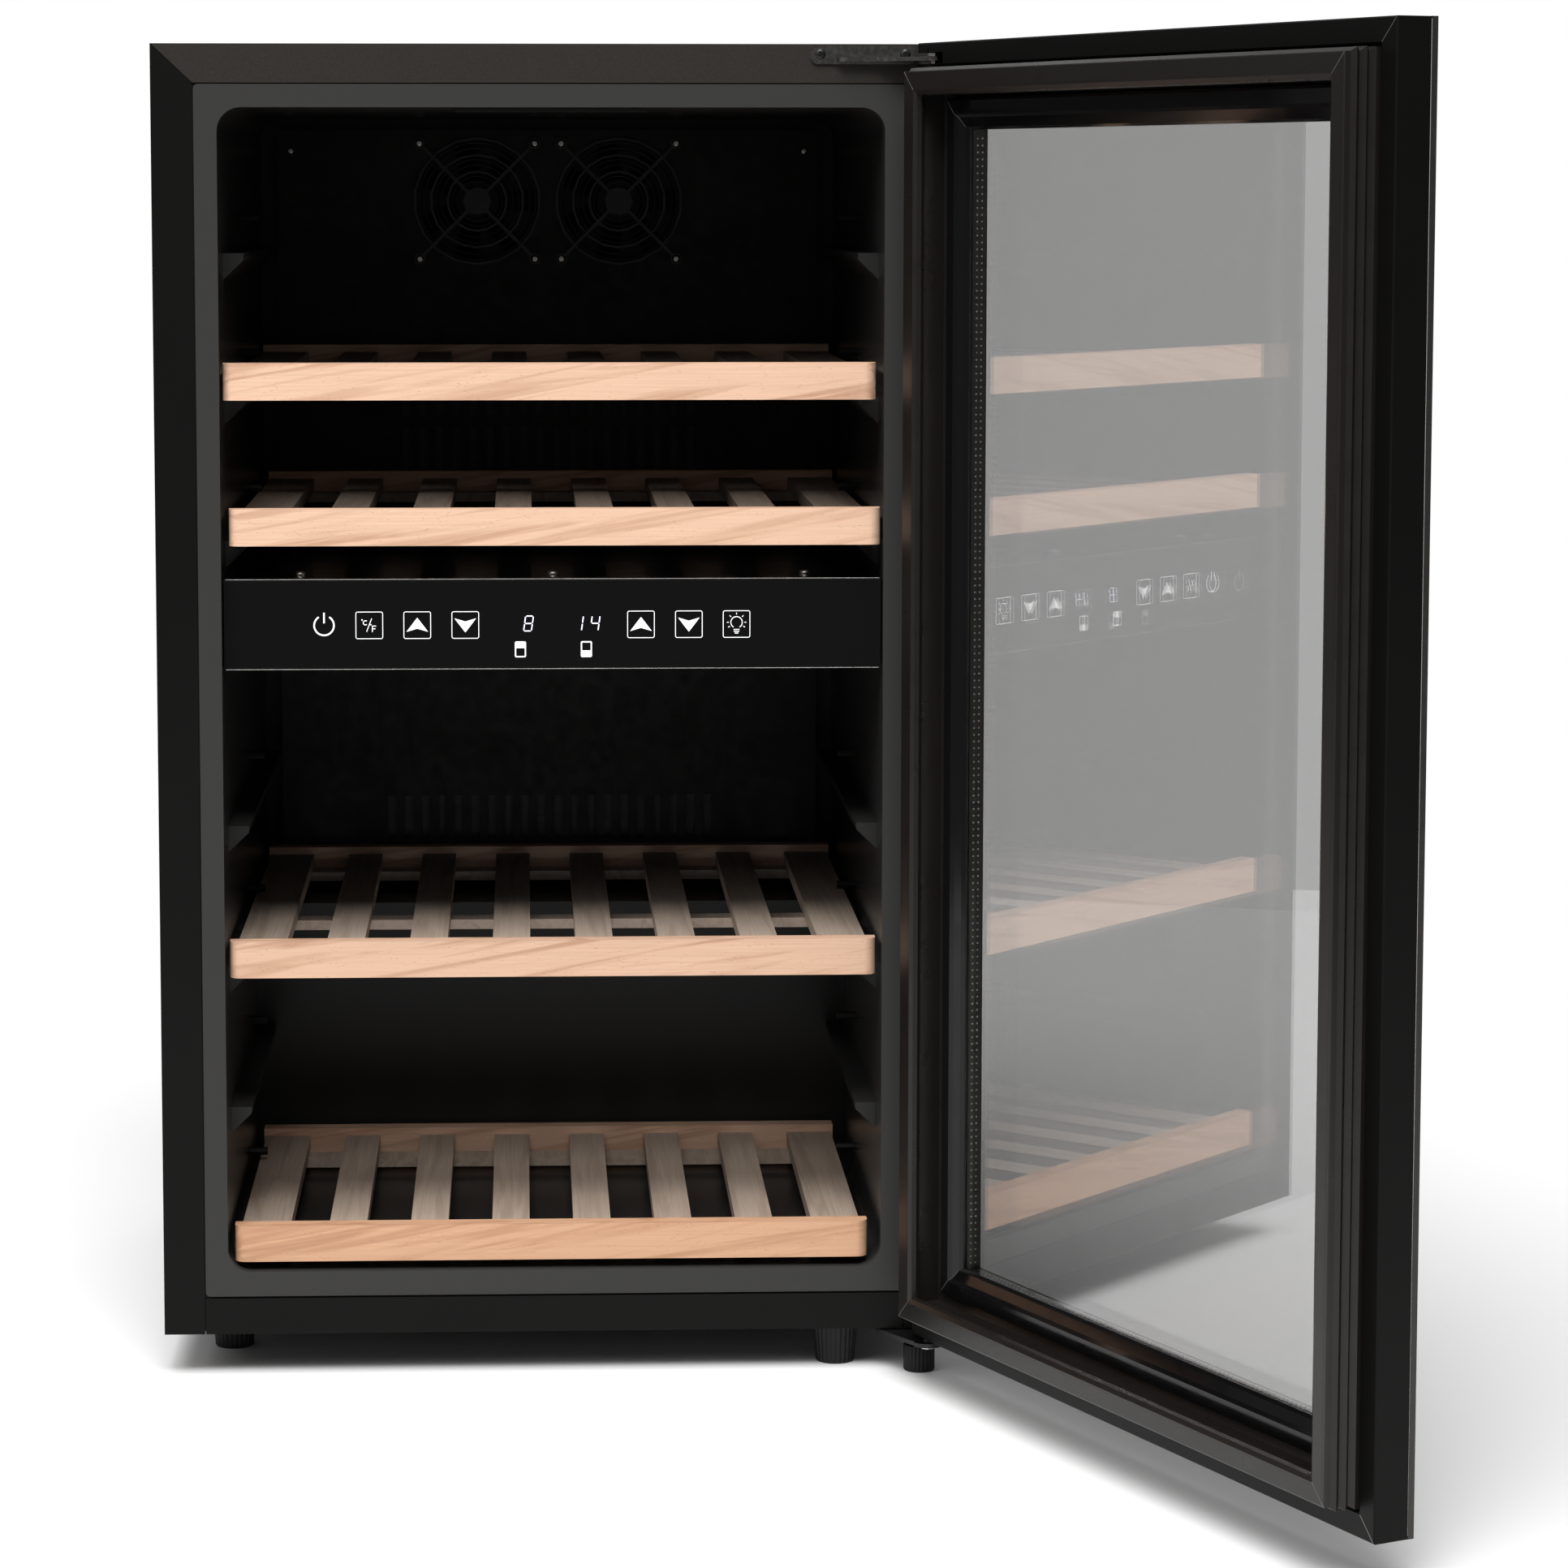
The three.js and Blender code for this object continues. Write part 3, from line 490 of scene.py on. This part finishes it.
def add_turned(bm, profile, steps, shape=None, center=(0, 0)):
    """A closed round body from radius and height pairs on one side of its axis, reshaped by turn."""
    first = bm.verts.new((center[0], center[1], profile[0][1]))
    last = bm.verts.new((center[0], center[1], profile[-1][1]))
    rings = []
    for radius, height in profile[1:-1]:
        ring = []
        for i in range(steps):
            turn = 2 * math.pi * i / steps
            r, z = shape(turn, radius, height) if shape else (radius, height)
            ring.append(bm.verts.new((center[0] + r * math.cos(turn), center[1] + r * math.sin(turn), z)))
        rings.append(ring)
    for i in range(steps):
        j = (i + 1) % steps
        bm.faces.new((first, rings[0][j], rings[0][i]))
        bm.faces.new((last, rings[-1][i], rings[-1][j]))
        for lower, upper in zip(rings, rings[1:]):
            bm.faces.new((lower[i], lower[j], upper[j], upper[i]))


def wire(name, runs, radius, body, material, smooth_path=False, closed=False, resolution=3):
    """Round wires along lists of points, as one curve object."""
    data = bpy.data.curves.new(name, "CURVE")
    data.dimensions = "3D"
    data.bevel_depth = radius
    data.bevel_resolution = resolution
    data.use_fill_caps = True
    for points in runs:
        spline = data.splines.new("BEZIER" if smooth_path else "POLY")
        if smooth_path:
            spline.bezier_points.add(len(points) - 1)
            for knot, point in zip(spline.bezier_points, points):
                knot.co = point
                knot.handle_left_type = knot.handle_right_type = "AUTO"
            spline.resolution_u = 10
        else:
            spline.points.add(len(points) - 1)
            for knot, point in zip(spline.points, points):
                knot.co = (*point, 1)
        spline.use_cyclic_u = closed
    piece = bpy.data.objects.new(name, data)
    scene.collection.objects.link(piece)
    return finish_piece(piece, body, material)


# ---- screws ----


def screw_mesh():
    """A pan-head screw with a cross recess, standing on z = 0, one unit in radius."""
    bm = bmesh.new()
    dome = [(0, 0), (0.97, 0), (1.0, 0.10), (0.96, 0.28), (0.80, 0.46), (0.55, 0.55), (0, 0.58)]
    add_turned(bm, dome, 24)
    head = mesh_object("screw_head", bm)
    bm = bmesh.new()
    add_box(bm, (-0.55, -0.11, 0.28), (0.55, 0.11, 0.9))
    slot_a = mesh_object("screw_slot_a", bm)
    bm = bmesh.new()
    add_box(bm, (-0.11, -0.55, 0.30), (0.11, 0.55, 0.92))
    slot_b = mesh_object("screw_slot_b", bm)
    for cutter in (slot_a, slot_b):
        difference = head.modifiers.new("cross", "BOOLEAN")
        difference.operation = "DIFFERENCE"
        difference.object = cutter
    bpy.context.view_layer.update()
    evaluated = head.evaluated_get(bpy.context.evaluated_depsgraph_get())
    data = bpy.data.meshes.new_from_object(evaluated)
    for helper in (head, slot_a, slot_b):
        bpy.data.objects.remove(helper)
    data.materials.clear()
    for polygon in data.polygons:
        polygon.use_smooth = True
    data.set_sharp_from_angle(angle=math.radians(40))
    return data


SCREW = screw_mesh()
SCREW_BLACK = SCREW.copy()
SCREW.materials.append(materials["zinc_steel"])
SCREW_BLACK.materials.append(materials["black_steel"])


def screw(name, at, towards, radius, turn=0.0, black=False, body="cabinet"):
    piece = bpy.data.objects.new(name, SCREW_BLACK if black else SCREW)
    scene.collection.objects.link(piece)
    aim = Vector(towards).to_track_quat("Z", "Y").to_matrix().to_4x4()
    spin = Matrix.Rotation(math.radians(turn), 4, "Z")
    piece.matrix_world = Matrix.Translation(at) @ aim @ spin @ Matrix.Scale(radius, 4)
    bpy.context.view_layer.update()
    return finish_piece(piece, body, None)


# Screw places in millimetres, from the cabinet's middle and the casing's foot
DIVIDER_SCREWS_X = (-160, 0, 160)
FAN_SCREW_REACH = 41.5
COVER_SCREW_X = 185
REAR_SCREW_X = 222
REAR_SCREW_ROWS = 5
HINGE_SCREWS_X = (166.4, 219.2)
HINGE_SCREW_Z = 805.8
LOWER_HINGE_SCREWS_X = (214, 238)


def cabinet_screws():
    for i, x in enumerate(DIVIDER_SCREWS_X):
        screw(f"divider_screw_{i}", (x * MM, FRONT + 45 * MM, DIVIDER_TOP), (0, 0, 1), 3.6 * MM, 20 + 31 * i)
    guard_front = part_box("fan_guard_left")[0].y
    for side, sign in (("left", -1), ("right", 1)):
        low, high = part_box(f"fan_frame_{side}")
        center = (low + high) / 2
        for j, (dx, dz) in enumerate(((-1, -1), (1, -1), (1, 1), (-1, 1))):
            at = (center.x + dx * FAN_SCREW_REACH * MM, guard_front, center.z + dz * FAN_SCREW_REACH * MM)
            screw(f"fan_screw_{side}_{j}", at, (0, -1, 0), 3.0 * MM, 17 * j + 8)
        for row, z in enumerate((COVER_HIGH.z - 15 * MM, COVER_LOW.z + 15 * MM)):
            at = (sign * COVER_SCREW_X * MM, COVER_LOW.y, z)
            screw(f"cover_screw_{side}_{row}", at, (0, -1, 0), 2.7 * MM, 40 * row)
        low_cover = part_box("back_cover_lower")
        for row, z in enumerate((low_cover[1].z - 14 * MM, low_cover[0].z + 14 * MM)):
            at = (sign * COVER_SCREW_X * MM, low_cover[0].y, z)
            screw(f"lower_cover_screw_{side}_{row}", at, (0, -1, 0), 2.7 * MM, 25 + 40 * row)
        rear_low, rear_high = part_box("rear_panel")
        pitch = (rear_high.z - rear_low.z - 24 * MM) / (REAR_SCREW_ROWS - 1)
        for row in range(REAR_SCREW_ROWS):
            at = (sign * REAR_SCREW_X * MM, rear_high.y, rear_low.z + 12 * MM + row * pitch)
            screw(f"rear_screw_{side}_{row}", at, (0, 1, 0), 3.4 * MM, 33 * row, black=True)
    for i, x in enumerate(HINGE_SCREWS_X):
        at = (x * MM, FRONT - 1.5 * MM, HINGE_SCREW_Z * MM)
        screw(f"hinge_screw_{i}", at, (0, -1, 0), 3.3 * MM, 28 + 40 * i, black=True)
    plate_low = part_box("bottom_hinge_bracket")[0].z
    for i, x in enumerate(LOWER_HINGE_SCREWS_X):
        at = (x * MM, FRONT + 22 * MM, plate_low)
        screw(f"lower_hinge_screw_{i}", at, (0, 0, -1), 3.6 * MM, 15 + 50 * i)


# ---- control panel graphics ----


def rounded(x, z, half_w, half_h, radius, steps=5):
    points = []
    for quarter, (sx, sz) in enumerate(((1, 1), (-1, 1), (-1, -1), (1, -1))):
        for step in range(steps + 1):
            turn = math.pi / 2 * (quarter + step / steps)
            cx, cz = x + sx * (half_w - radius), z + sz * (half_h - radius)
            points.append((cx + radius * math.cos(turn), cz + radius * math.sin(turn)))
    return points


def circle(x, z, radius, steps=24, start=0.0, sweep=360.0):
    count = steps if sweep == 360 else steps + 1
    turns = [math.radians(start + sweep * i / steps) for i in range(count)]
    return [(x + radius * math.cos(t), z + radius * math.sin(t)) for t in turns]


def stroke(points, width):
    """A closed outline around an open line of points."""
    left, right = [], []
    for i, point in enumerate(points):
        before, after = Vector(points[max(i - 1, 0)]), Vector(points[min(i + 1, len(points) - 1)])
        along = (after - before).normalized()
        side = Vector((-along.y, along.x)) * width / 2
        left.append(tuple(Vector(point) + side))
        right.append(tuple(Vector(point) - side))
    return left + right[::-1]


PRINT_DEPTH = 0.12


def printed(name, outlines, material):
    """Flat graphics just proud of the panel, in millimetres. Nested outlines make holes."""
    data = bpy.data.curves.new(name, "CURVE")
    data.dimensions = "2D"
    data.fill_mode = "BOTH"
    data.extrude = PRINT_DEPTH * MM / 2
    for outline in outlines:
        spline = data.splines.new("POLY")
        spline.points.add(len(outline) - 1)
        for knot, (x, z) in zip(spline.points, outline):
            knot.co = (x * MM, z * MM, 0, 1)
        spline.use_cyclic_u = True
    piece = bpy.data.objects.new(name, data)
    scene.collection.objects.link(piece)
    piece.location = (0, PANEL_LOW.y - PRINT_DEPTH * MM / 2 - 0.02 * MM, 0)
    piece.rotation_euler = (math.pi / 2, 0, 0)
    bpy.context.view_layer.update()
    return finish_piece(piece, "cabinet", material)


# Heights and half width of the key symbols, and the places of the keys, in millimetres
ICON_Z = 450.5
ICON_HALF = 8.6
KEYS_X = (-115.2, -85.2, -55.1, 55.1, 85.2, 115.2)


def key_frame(x):
    outer = rounded(x, ICON_Z, ICON_HALF, ICON_HALF, 1.3)
    inner = rounded(x, ICON_Z, ICON_HALF - 0.42, ICON_HALF - 0.42, 0.9)
    return [outer, inner]


def arrow(x, up):
    s = 1 if up else -1
    points = ((-6.8, -4.2), (0, 4.7), (6.8, -4.2), (0, -2.2))
    return [(x + px, ICON_Z + s * pz) for px, pz in points]


def power_icon(x):
    ring = stroke(circle(x, ICON_Z, 6.2, 30, 122, 296), 1.0)
    return [ring, stroke([(x, ICON_Z + 8), (x, ICON_Z + 1.4)], 1.0)]


def degree_icon(x):
    c_arc = circle(x - 2.4, ICON_Z + 1.6, 1.35, 14, 50, 260)
    slash = stroke([(x - 1.7, ICON_Z - 4.0), (x + 1.5, ICON_Z + 4.3)], 0.45)
    f_stem = stroke([(x + 1.9, ICON_Z - 4.2), (x + 1.9, ICON_Z - 0.2)], 0.5)
    f_top = stroke([(x + 2.2, ICON_Z - 0.45), (x + 4.2, ICON_Z - 0.45)], 0.5)
    f_bar = stroke([(x + 2.2, ICON_Z - 2.2), (x + 3.8, ICON_Z - 2.2)], 0.5)
    dots = [circle(x + px, ICON_Z + pz, 0.45, 10) for px, pz in ((-4.5, 3.4), (0.9, 0.4))]
    return [stroke(c_arc, 0.5), slash, f_stem, f_top, f_bar, *dots]


def bulb_icon(x):
    glass_arc = circle(x, ICON_Z + 1.1, 3.6, 22, -58, 296)
    shapes = [stroke(glass_arc, 0.5)]
    for drop, half in ((-3.4, 1.8), (-4.6, 1.7), (-5.7, 1.1)):
        shapes.append(stroke([(x - half, ICON_Z + drop), (x + half, ICON_Z + drop)], 0.5))
    for turn in (-30, 0, 45, 90, 135, 180, 210):
        a = math.radians(turn)
        ends = [(x + r * math.cos(a), ICON_Z + 1.1 + r * math.sin(a)) for r in (4.9, 6.1)]
        shapes.append(stroke(ends, 0.45))
    return shapes


def zone_icon(x, upper):
    z = 435.0
    outer = rounded(x, z, 3.5, 5.0, 0.9)
    inner = rounded(x, z - 1.7 if upper else z + 1.7, 2.7, 2.5, 0.3)
    return [outer, inner]


SEGMENTS = {
    "a": ((0, 2), (1, 2)),
    "b": ((1, 2), (1, 1)),
    "c": ((1, 1), (1, 0)),
    "d": ((0, 0), (1, 0)),
    "e": ((0, 1), (0, 0)),
    "f": ((0, 2), (0, 1)),
    "g": ((0, 1), (1, 1)),
}
DIGITS = {"8": "abcdefg", "1": "bc", "4": "bcfg"}


def digit(sign, x):
    """A seven-segment digit, leaning slightly to the right."""
    wide, tall, lean, low = 4.9, 4.7, 0.14, ICON_Z - 3.9
    shapes = []
    for name in DIGITS[sign]:
        ends = [Vector((x + a * wide, low + b * tall)) for a, b in SEGMENTS[name]]
        gap = (ends[1] - ends[0]).normalized() * 0.45
        ends = [ends[0] + gap, ends[1] - gap]
        leaned = [(e.x + (e.y - low) * lean, e.y) for e in ends]
        shapes.append(stroke(leaned, 0.65))
    return shapes


def panel_graphics():
    shapes = power_icon(-143.5)
    for x in KEYS_X:
        shapes += key_frame(x)
    shapes += degree_icon(KEYS_X[0]) + bulb_icon(KEYS_X[5])
    shapes += [arrow(x, up) for x, up in zip(KEYS_X[1:5], (True, False, True, False))]
    shapes += zone_icon(-20.6, True) + zone_icon(20.8, False)
    printed("panel_icons", shapes, PRINT_WHITE)
    digits = digit("8", -18.6) + digit("1", 12.8) + digit("4", 23.2)
    printed("temperature_digits", digits, DISPLAY_LIGHT)


def panel_trim():
    """Thin polished strips along the panel's upper and lower edges."""
    y = PANEL_LOW.y + 0.3 * MM
    for edge, z in (("top", PANEL_HIGH.z - 0.2 * MM), ("bottom", PANEL_LOW.z + 0.2 * MM)):
        run = [(PANEL_LOW.x + 1 * MM, y, z), (PANEL_HIGH.x - 1 * MM, y, z)]
        wire(f"panel_trim_{edge}", [run], 0.28 * MM, "cabinet", SPECIAL["top_hinge_bracket"])


# ---- fan guards, feet, condenser and compressor ----


def guard_wires():
    for side in ("left", "right"):
        low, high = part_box(f"fan_frame_{side}")
        center = (low + high) / 2
        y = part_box(f"fan_guard_{side}")[0].y + 1.2 * MM
        rings = []
        for radius in (14, 18, 26, 30, 38, 42):
            ring = [
                (center.x + radius * MM * math.cos(t), y, center.z + radius * MM * math.sin(t))
                for t in (2 * math.pi * i / 48 for i in range(48))
            ]
            rings.append(ring)
        wire(f"fan_guard_wires_{side}", rings, 0.75 * MM, "cabinet",
             materials["black_steel"], closed=True)


def fluted_foot(node):
    low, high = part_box(node)
    center = (low + high) / 2
    top = (high.x - low.x) / 2
    height = high.z - low.z
    small = node == "foot_hinge"
    foot = top if small else 0.86 * top
    bm = bmesh.new()

    def flutes(turn, radius, z):
        depth = 0.055 if radius > 0.8 * foot and low.z + 0.06 * height < z < high.z - 0.12 * height else 0
        return radius * (1 - depth * (0.5 + 0.5 * math.cos(24 * turn)) ** 2), z

    def level(part):
        return low.z + part * height

    if small:
        body_top = level(0.72)
        profile = [(0, level(0)), (0.94 * foot, level(0)), (foot, level(0.05)), (foot, level(0.07)),
                   (foot, level(0.35)), (foot, body_top), (0.93 * foot, body_top + 0.5 * MM),
                   (0.4 * foot, body_top + 0.6 * MM), (0.4 * foot, level(1)), (0, level(1))]
    else:
        profile = [(0, level(0)), (0.95 * foot, level(0)), (foot, level(0.04)), (foot, level(0.07)),
                   (0.93 * top, level(0.5)), (0.985 * top, level(0.84)), (top, level(0.86)),
                   (top, level(0.97)), (0.97 * top, level(1)), (0, level(1))]
    add_turned(bm, profile, 192, flutes, (center.x, center.y))
    piece = smooth(mesh_object(f"{node}_fluted", bm), 50)
    finish_piece(piece, "cabinet", materials["matt_black"])
    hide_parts(node)


def condenser_wires():
    low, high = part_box("condenser")
    tube_y = high.y - 3.4 * MM
    count = 46
    runs = []
    for i in range(count):
        x = -190 * MM + i * 380 * MM / (count - 1)
        y = tube_y + (3.6 if i % 2 else -3.6) * MM
        runs.append([(x, y, low.z + 2 * MM), (x, y, high.z - 2 * MM)])
    wire("condenser_wires", runs, 0.8 * MM, "cabinet", materials["black_steel"], resolution=2)


def compressor_pipes():
    low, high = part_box("compressor")
    center = (low + high) / 2
    cond_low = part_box("condenser")[0]
    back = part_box("rear_panel")[1].y
    shoulder = center.z + 30 * MM
    discharge = [
        (center.x - 30 * MM, center.y + 40 * MM, shoulder),
        (center.x - 60 * MM, center.y + 52 * MM, shoulder + 6 * MM),
        (-120 * MM, back - 14 * MM, 100 * MM),
        (-180 * MM, back - 8 * MM, 150 * MM),
        (-194 * MM, back + 6 * MM, 205 * MM),
        (-196 * MM, back + 13 * MM, cond_low.z + 3 * MM),
    ]
    suction = [
        (center.x + 40 * MM, center.y + 26 * MM, shoulder),
        (center.x + 70 * MM, center.y + 36 * MM, shoulder + 12 * MM),
        (190 * MM, back - 30 * MM, 120 * MM),
        (206 * MM, back - 26 * MM, 160 * MM),
        (208 * MM, back - 26 * MM, 196 * MM),
    ]
    wire("compressor_pipes", [discharge, suction], 3.0 * MM, "cabinet",
         materials["black_steel"], smooth_path=True)
    capsule = [(150 * MM, back - 22 * MM, 30 * MM), (150 * MM, back - 22 * MM, 120 * MM)]
    wire("filter_drier", [capsule], 9 * MM, "cabinet", materials["zinc_steel"], resolution=6)


# ---- door details, drawn closed around the hinge axis, with depths in millimetres ----

PRINT_FRONT, PRINT_BACK = -17.36, -17.20
PANE_FRONT = -21.28
SPACER_INSET = 51.75


def door_ring(name, section, material):
    """A mitred frame round the door. section holds inset and depth pairs, in millimetres."""
    bm = bmesh.new()
    rings = []
    for inset, y in section:
        x0, x1 = DOOR_EDGE - DOOR_WIDTH + inset * MM, DOOR_EDGE - inset * MM
        z0, z1 = inset * MM, DOOR_HEIGHT - inset * MM
        rings.append([bm.verts.new((x, y * MM, z)) for x, z in ((x0, z0), (x1, z0), (x1, z1), (x0, z1))])
    for i, ring in enumerate(rings):
        other = rings[(i + 1) % len(rings)]
        for j in range(4):
            k = (j + 1) % 4
            bm.faces.new((ring[j], ring[k], other[k], other[j]))
    piece = mesh_object(name, bm, DOOR_PLACE)
    return finish_piece(piece, "door", material)


# Door corners as pairs: on the free side or the hinge side, and at the foot or the head
FREE_CORNERS = ((True, True), (True, False))
ALL_CORNERS = (*FREE_CORNERS, (False, True), (False, False))


def mitre_seams(name, section, corners):
    """Fine seams over the corners of a door ring, pale as a painted highlight on the mitre joints. section holds
    inset and depth pairs.
    """
    runs = []
    for left, low in corners:
        run = []
        for inset, y in section:
            x = DOOR_EDGE - DOOR_WIDTH + inset * MM if left else DOOR_EDGE - inset * MM
            z = inset * MM if low else DOOR_HEIGHT - inset * MM
            run.append(DOOR_PLACE @ Vector((x, y * MM, z)))
        runs.append(run)
    wire(name, runs, 0.3 * MM, "door", SEAM_HIGHLIGHT)


def spacer_dots():
    """The two rows of small vent holes along the spacer bar, seen at the edge of the glass."""
    bm = bmesh.new()
    pitch, depth_rows, size = 4.2, (-13.9, -10.5), 0.5
    inset = SPACER_INSET
    width, height = DOOR_WIDTH / MM, DOOR_HEIGHT / MM
    for y in depth_rows:
        steps = int((height - 2 * inset) / pitch)
        for i in range(1, steps):
            z = inset + i * pitch
            for x in (DOOR_EDGE / MM - inset, DOOR_EDGE / MM - width + inset):
                add_box(bm, ((x - 0.12) * MM, (y - size) * MM, (z - size) * MM),
                        ((x + 0.12) * MM, (y + size) * MM, (z + size) * MM))
        steps = int((width - 2 * inset) / pitch)
        for i in range(1, steps):
            x = DOOR_EDGE / MM - width + inset + i * pitch
            for z in (inset, height - inset):
                add_box(bm, ((x - size) * MM, (y - size) * MM, (z - 0.12) * MM),
                        ((x + size) * MM, (y + size) * MM, (z + 0.12) * MM))
    piece = mesh_object("spacer_vent_holes", bm, DOOR_PLACE)
    finish_piece(piece, "door", materials["zinc_steel"])


def door_details():
    border = [(1, PRINT_FRONT), (1, PRINT_BACK), (52, PRINT_BACK), (52, PRINT_FRONT)]
    door_ring("glass_printed_border", border, materials["gloss_black"])
    ground = [(-0.08, PANE_FRONT), (-0.08, -17.5), (0.02, -17.5)]
    ground += [(0.02, -21.23), (1.0, -21.23), (1.0, PANE_FRONT)]
    door_ring("glass_ground_edge", ground, materials["spacer"])
    mitre_seams("gasket_mitre_seams", ((18.4, 24.70), (29.4, 24.70)), ALL_CORNERS)
    mitre_seams("outer_frame_mitre_seams", ((0.9, 4.72), (13.1, 4.72)), FREE_CORNERS)
    inner_frame = ((36.3, 4.32), (43.8, 4.32), (46.1, 2.32), (51.9, 0.74))
    mitre_seams("inner_frame_mitre_seams", inner_frame, ALL_CORNERS)
    magnet = [(20.5, 24.75), (20.5, 24.86), (28, 24.86), (28, 24.75)]
    door_ring("gasket_magnet_line", magnet, materials["gasket_rubber"])
    spacer_dots()


# ---- studio ----

FLOOR_RADIUS = 1.9
WORLD_SEEN = 1.0
WORLD_LIT = 0.16


def studio():
    middle = (cad_bounds[0] + cad_bounds[1]) / 2
    bm = bmesh.new()
    bmesh.ops.create_circle(bm, cap_ends=True, radius=FLOOR_RADIUS, segments=128)
    ground = mesh_object("floor", bm, Matrix.Translation((middle.x, middle.y, FLOOR)))
    m = Shader("pale_floor", (0.86, 0.86, 0.86), 0.9)
    ground.data.materials.append(m.material)
    world = bpy.data.worlds.new("studio")
    scene.world = world
    world.use_nodes = True
    tree = world.node_tree
    background = tree.nodes["Background"]
    rays = tree.nodes.new("ShaderNodeLightPath")
    seen = tree.nodes.new("ShaderNodeMath")
    seen.operation = "MAXIMUM"
    tree.links.new(rays.outputs["Is Camera Ray"], seen.inputs[0])
    tree.links.new(rays.outputs["Is Transmission Ray"], seen.inputs[1])
    level = tree.nodes.new("ShaderNodeMapRange")
    level.inputs["To Min"].default_value = WORLD_LIT
    level.inputs["To Max"].default_value = WORLD_SEEN
    tree.links.new(seen.outputs[0], level.inputs["Value"])
    tree.links.new(level.outputs["Result"], background.inputs["Strength"])
    background.inputs["Color"].default_value = (1, 1, 1, 1)
    overhead = bpy.data.lights.new("overhead", "SUN")
    overhead.energy = 3.0
    overhead.angle = math.radians(40)
    sun = bpy.data.objects.new("overhead", overhead)
    sun.rotation_euler = (math.radians(28), math.radians(-8), 0)
    scene.collection.objects.link(sun)
    target = Vector((0.1, FRONT + 0.2, 0.42))
    lights = (
        ("key", (-2.9, FRONT - 2.3, 2.5), 1.8, 1.6, 45),
        ("fill", (0.1, FRONT - 1.7, 2.3), 1.2, 0.6, 22),
        ("back", (0.4, FRONT + 3.0, 1.9), 1.8, 1.4, 16),
    )
    for name, at, wide, tall, power in lights:
        data = bpy.data.lights.new(name, "AREA")
        data.shape = "RECTANGLE"
        data.size, data.size_y = wide, tall
        data.energy = power
        light = bpy.data.objects.new(name, data)
        light.location = at
        light.rotation_euler = (target - Vector(at)).to_track_quat("-Z", "Y").to_euler()
        scene.collection.objects.link(light)


dress_frame()
cabinet_screws()
panel_graphics()
panel_trim()
guard_wires()
for foot_node in ("foot_front_left", "foot_front_right", "foot_rear_left", "foot_rear_right", "foot_hinge"):
    fluted_foot(foot_node)
condenser_wires()
compressor_pipes()
door_details()
studio()
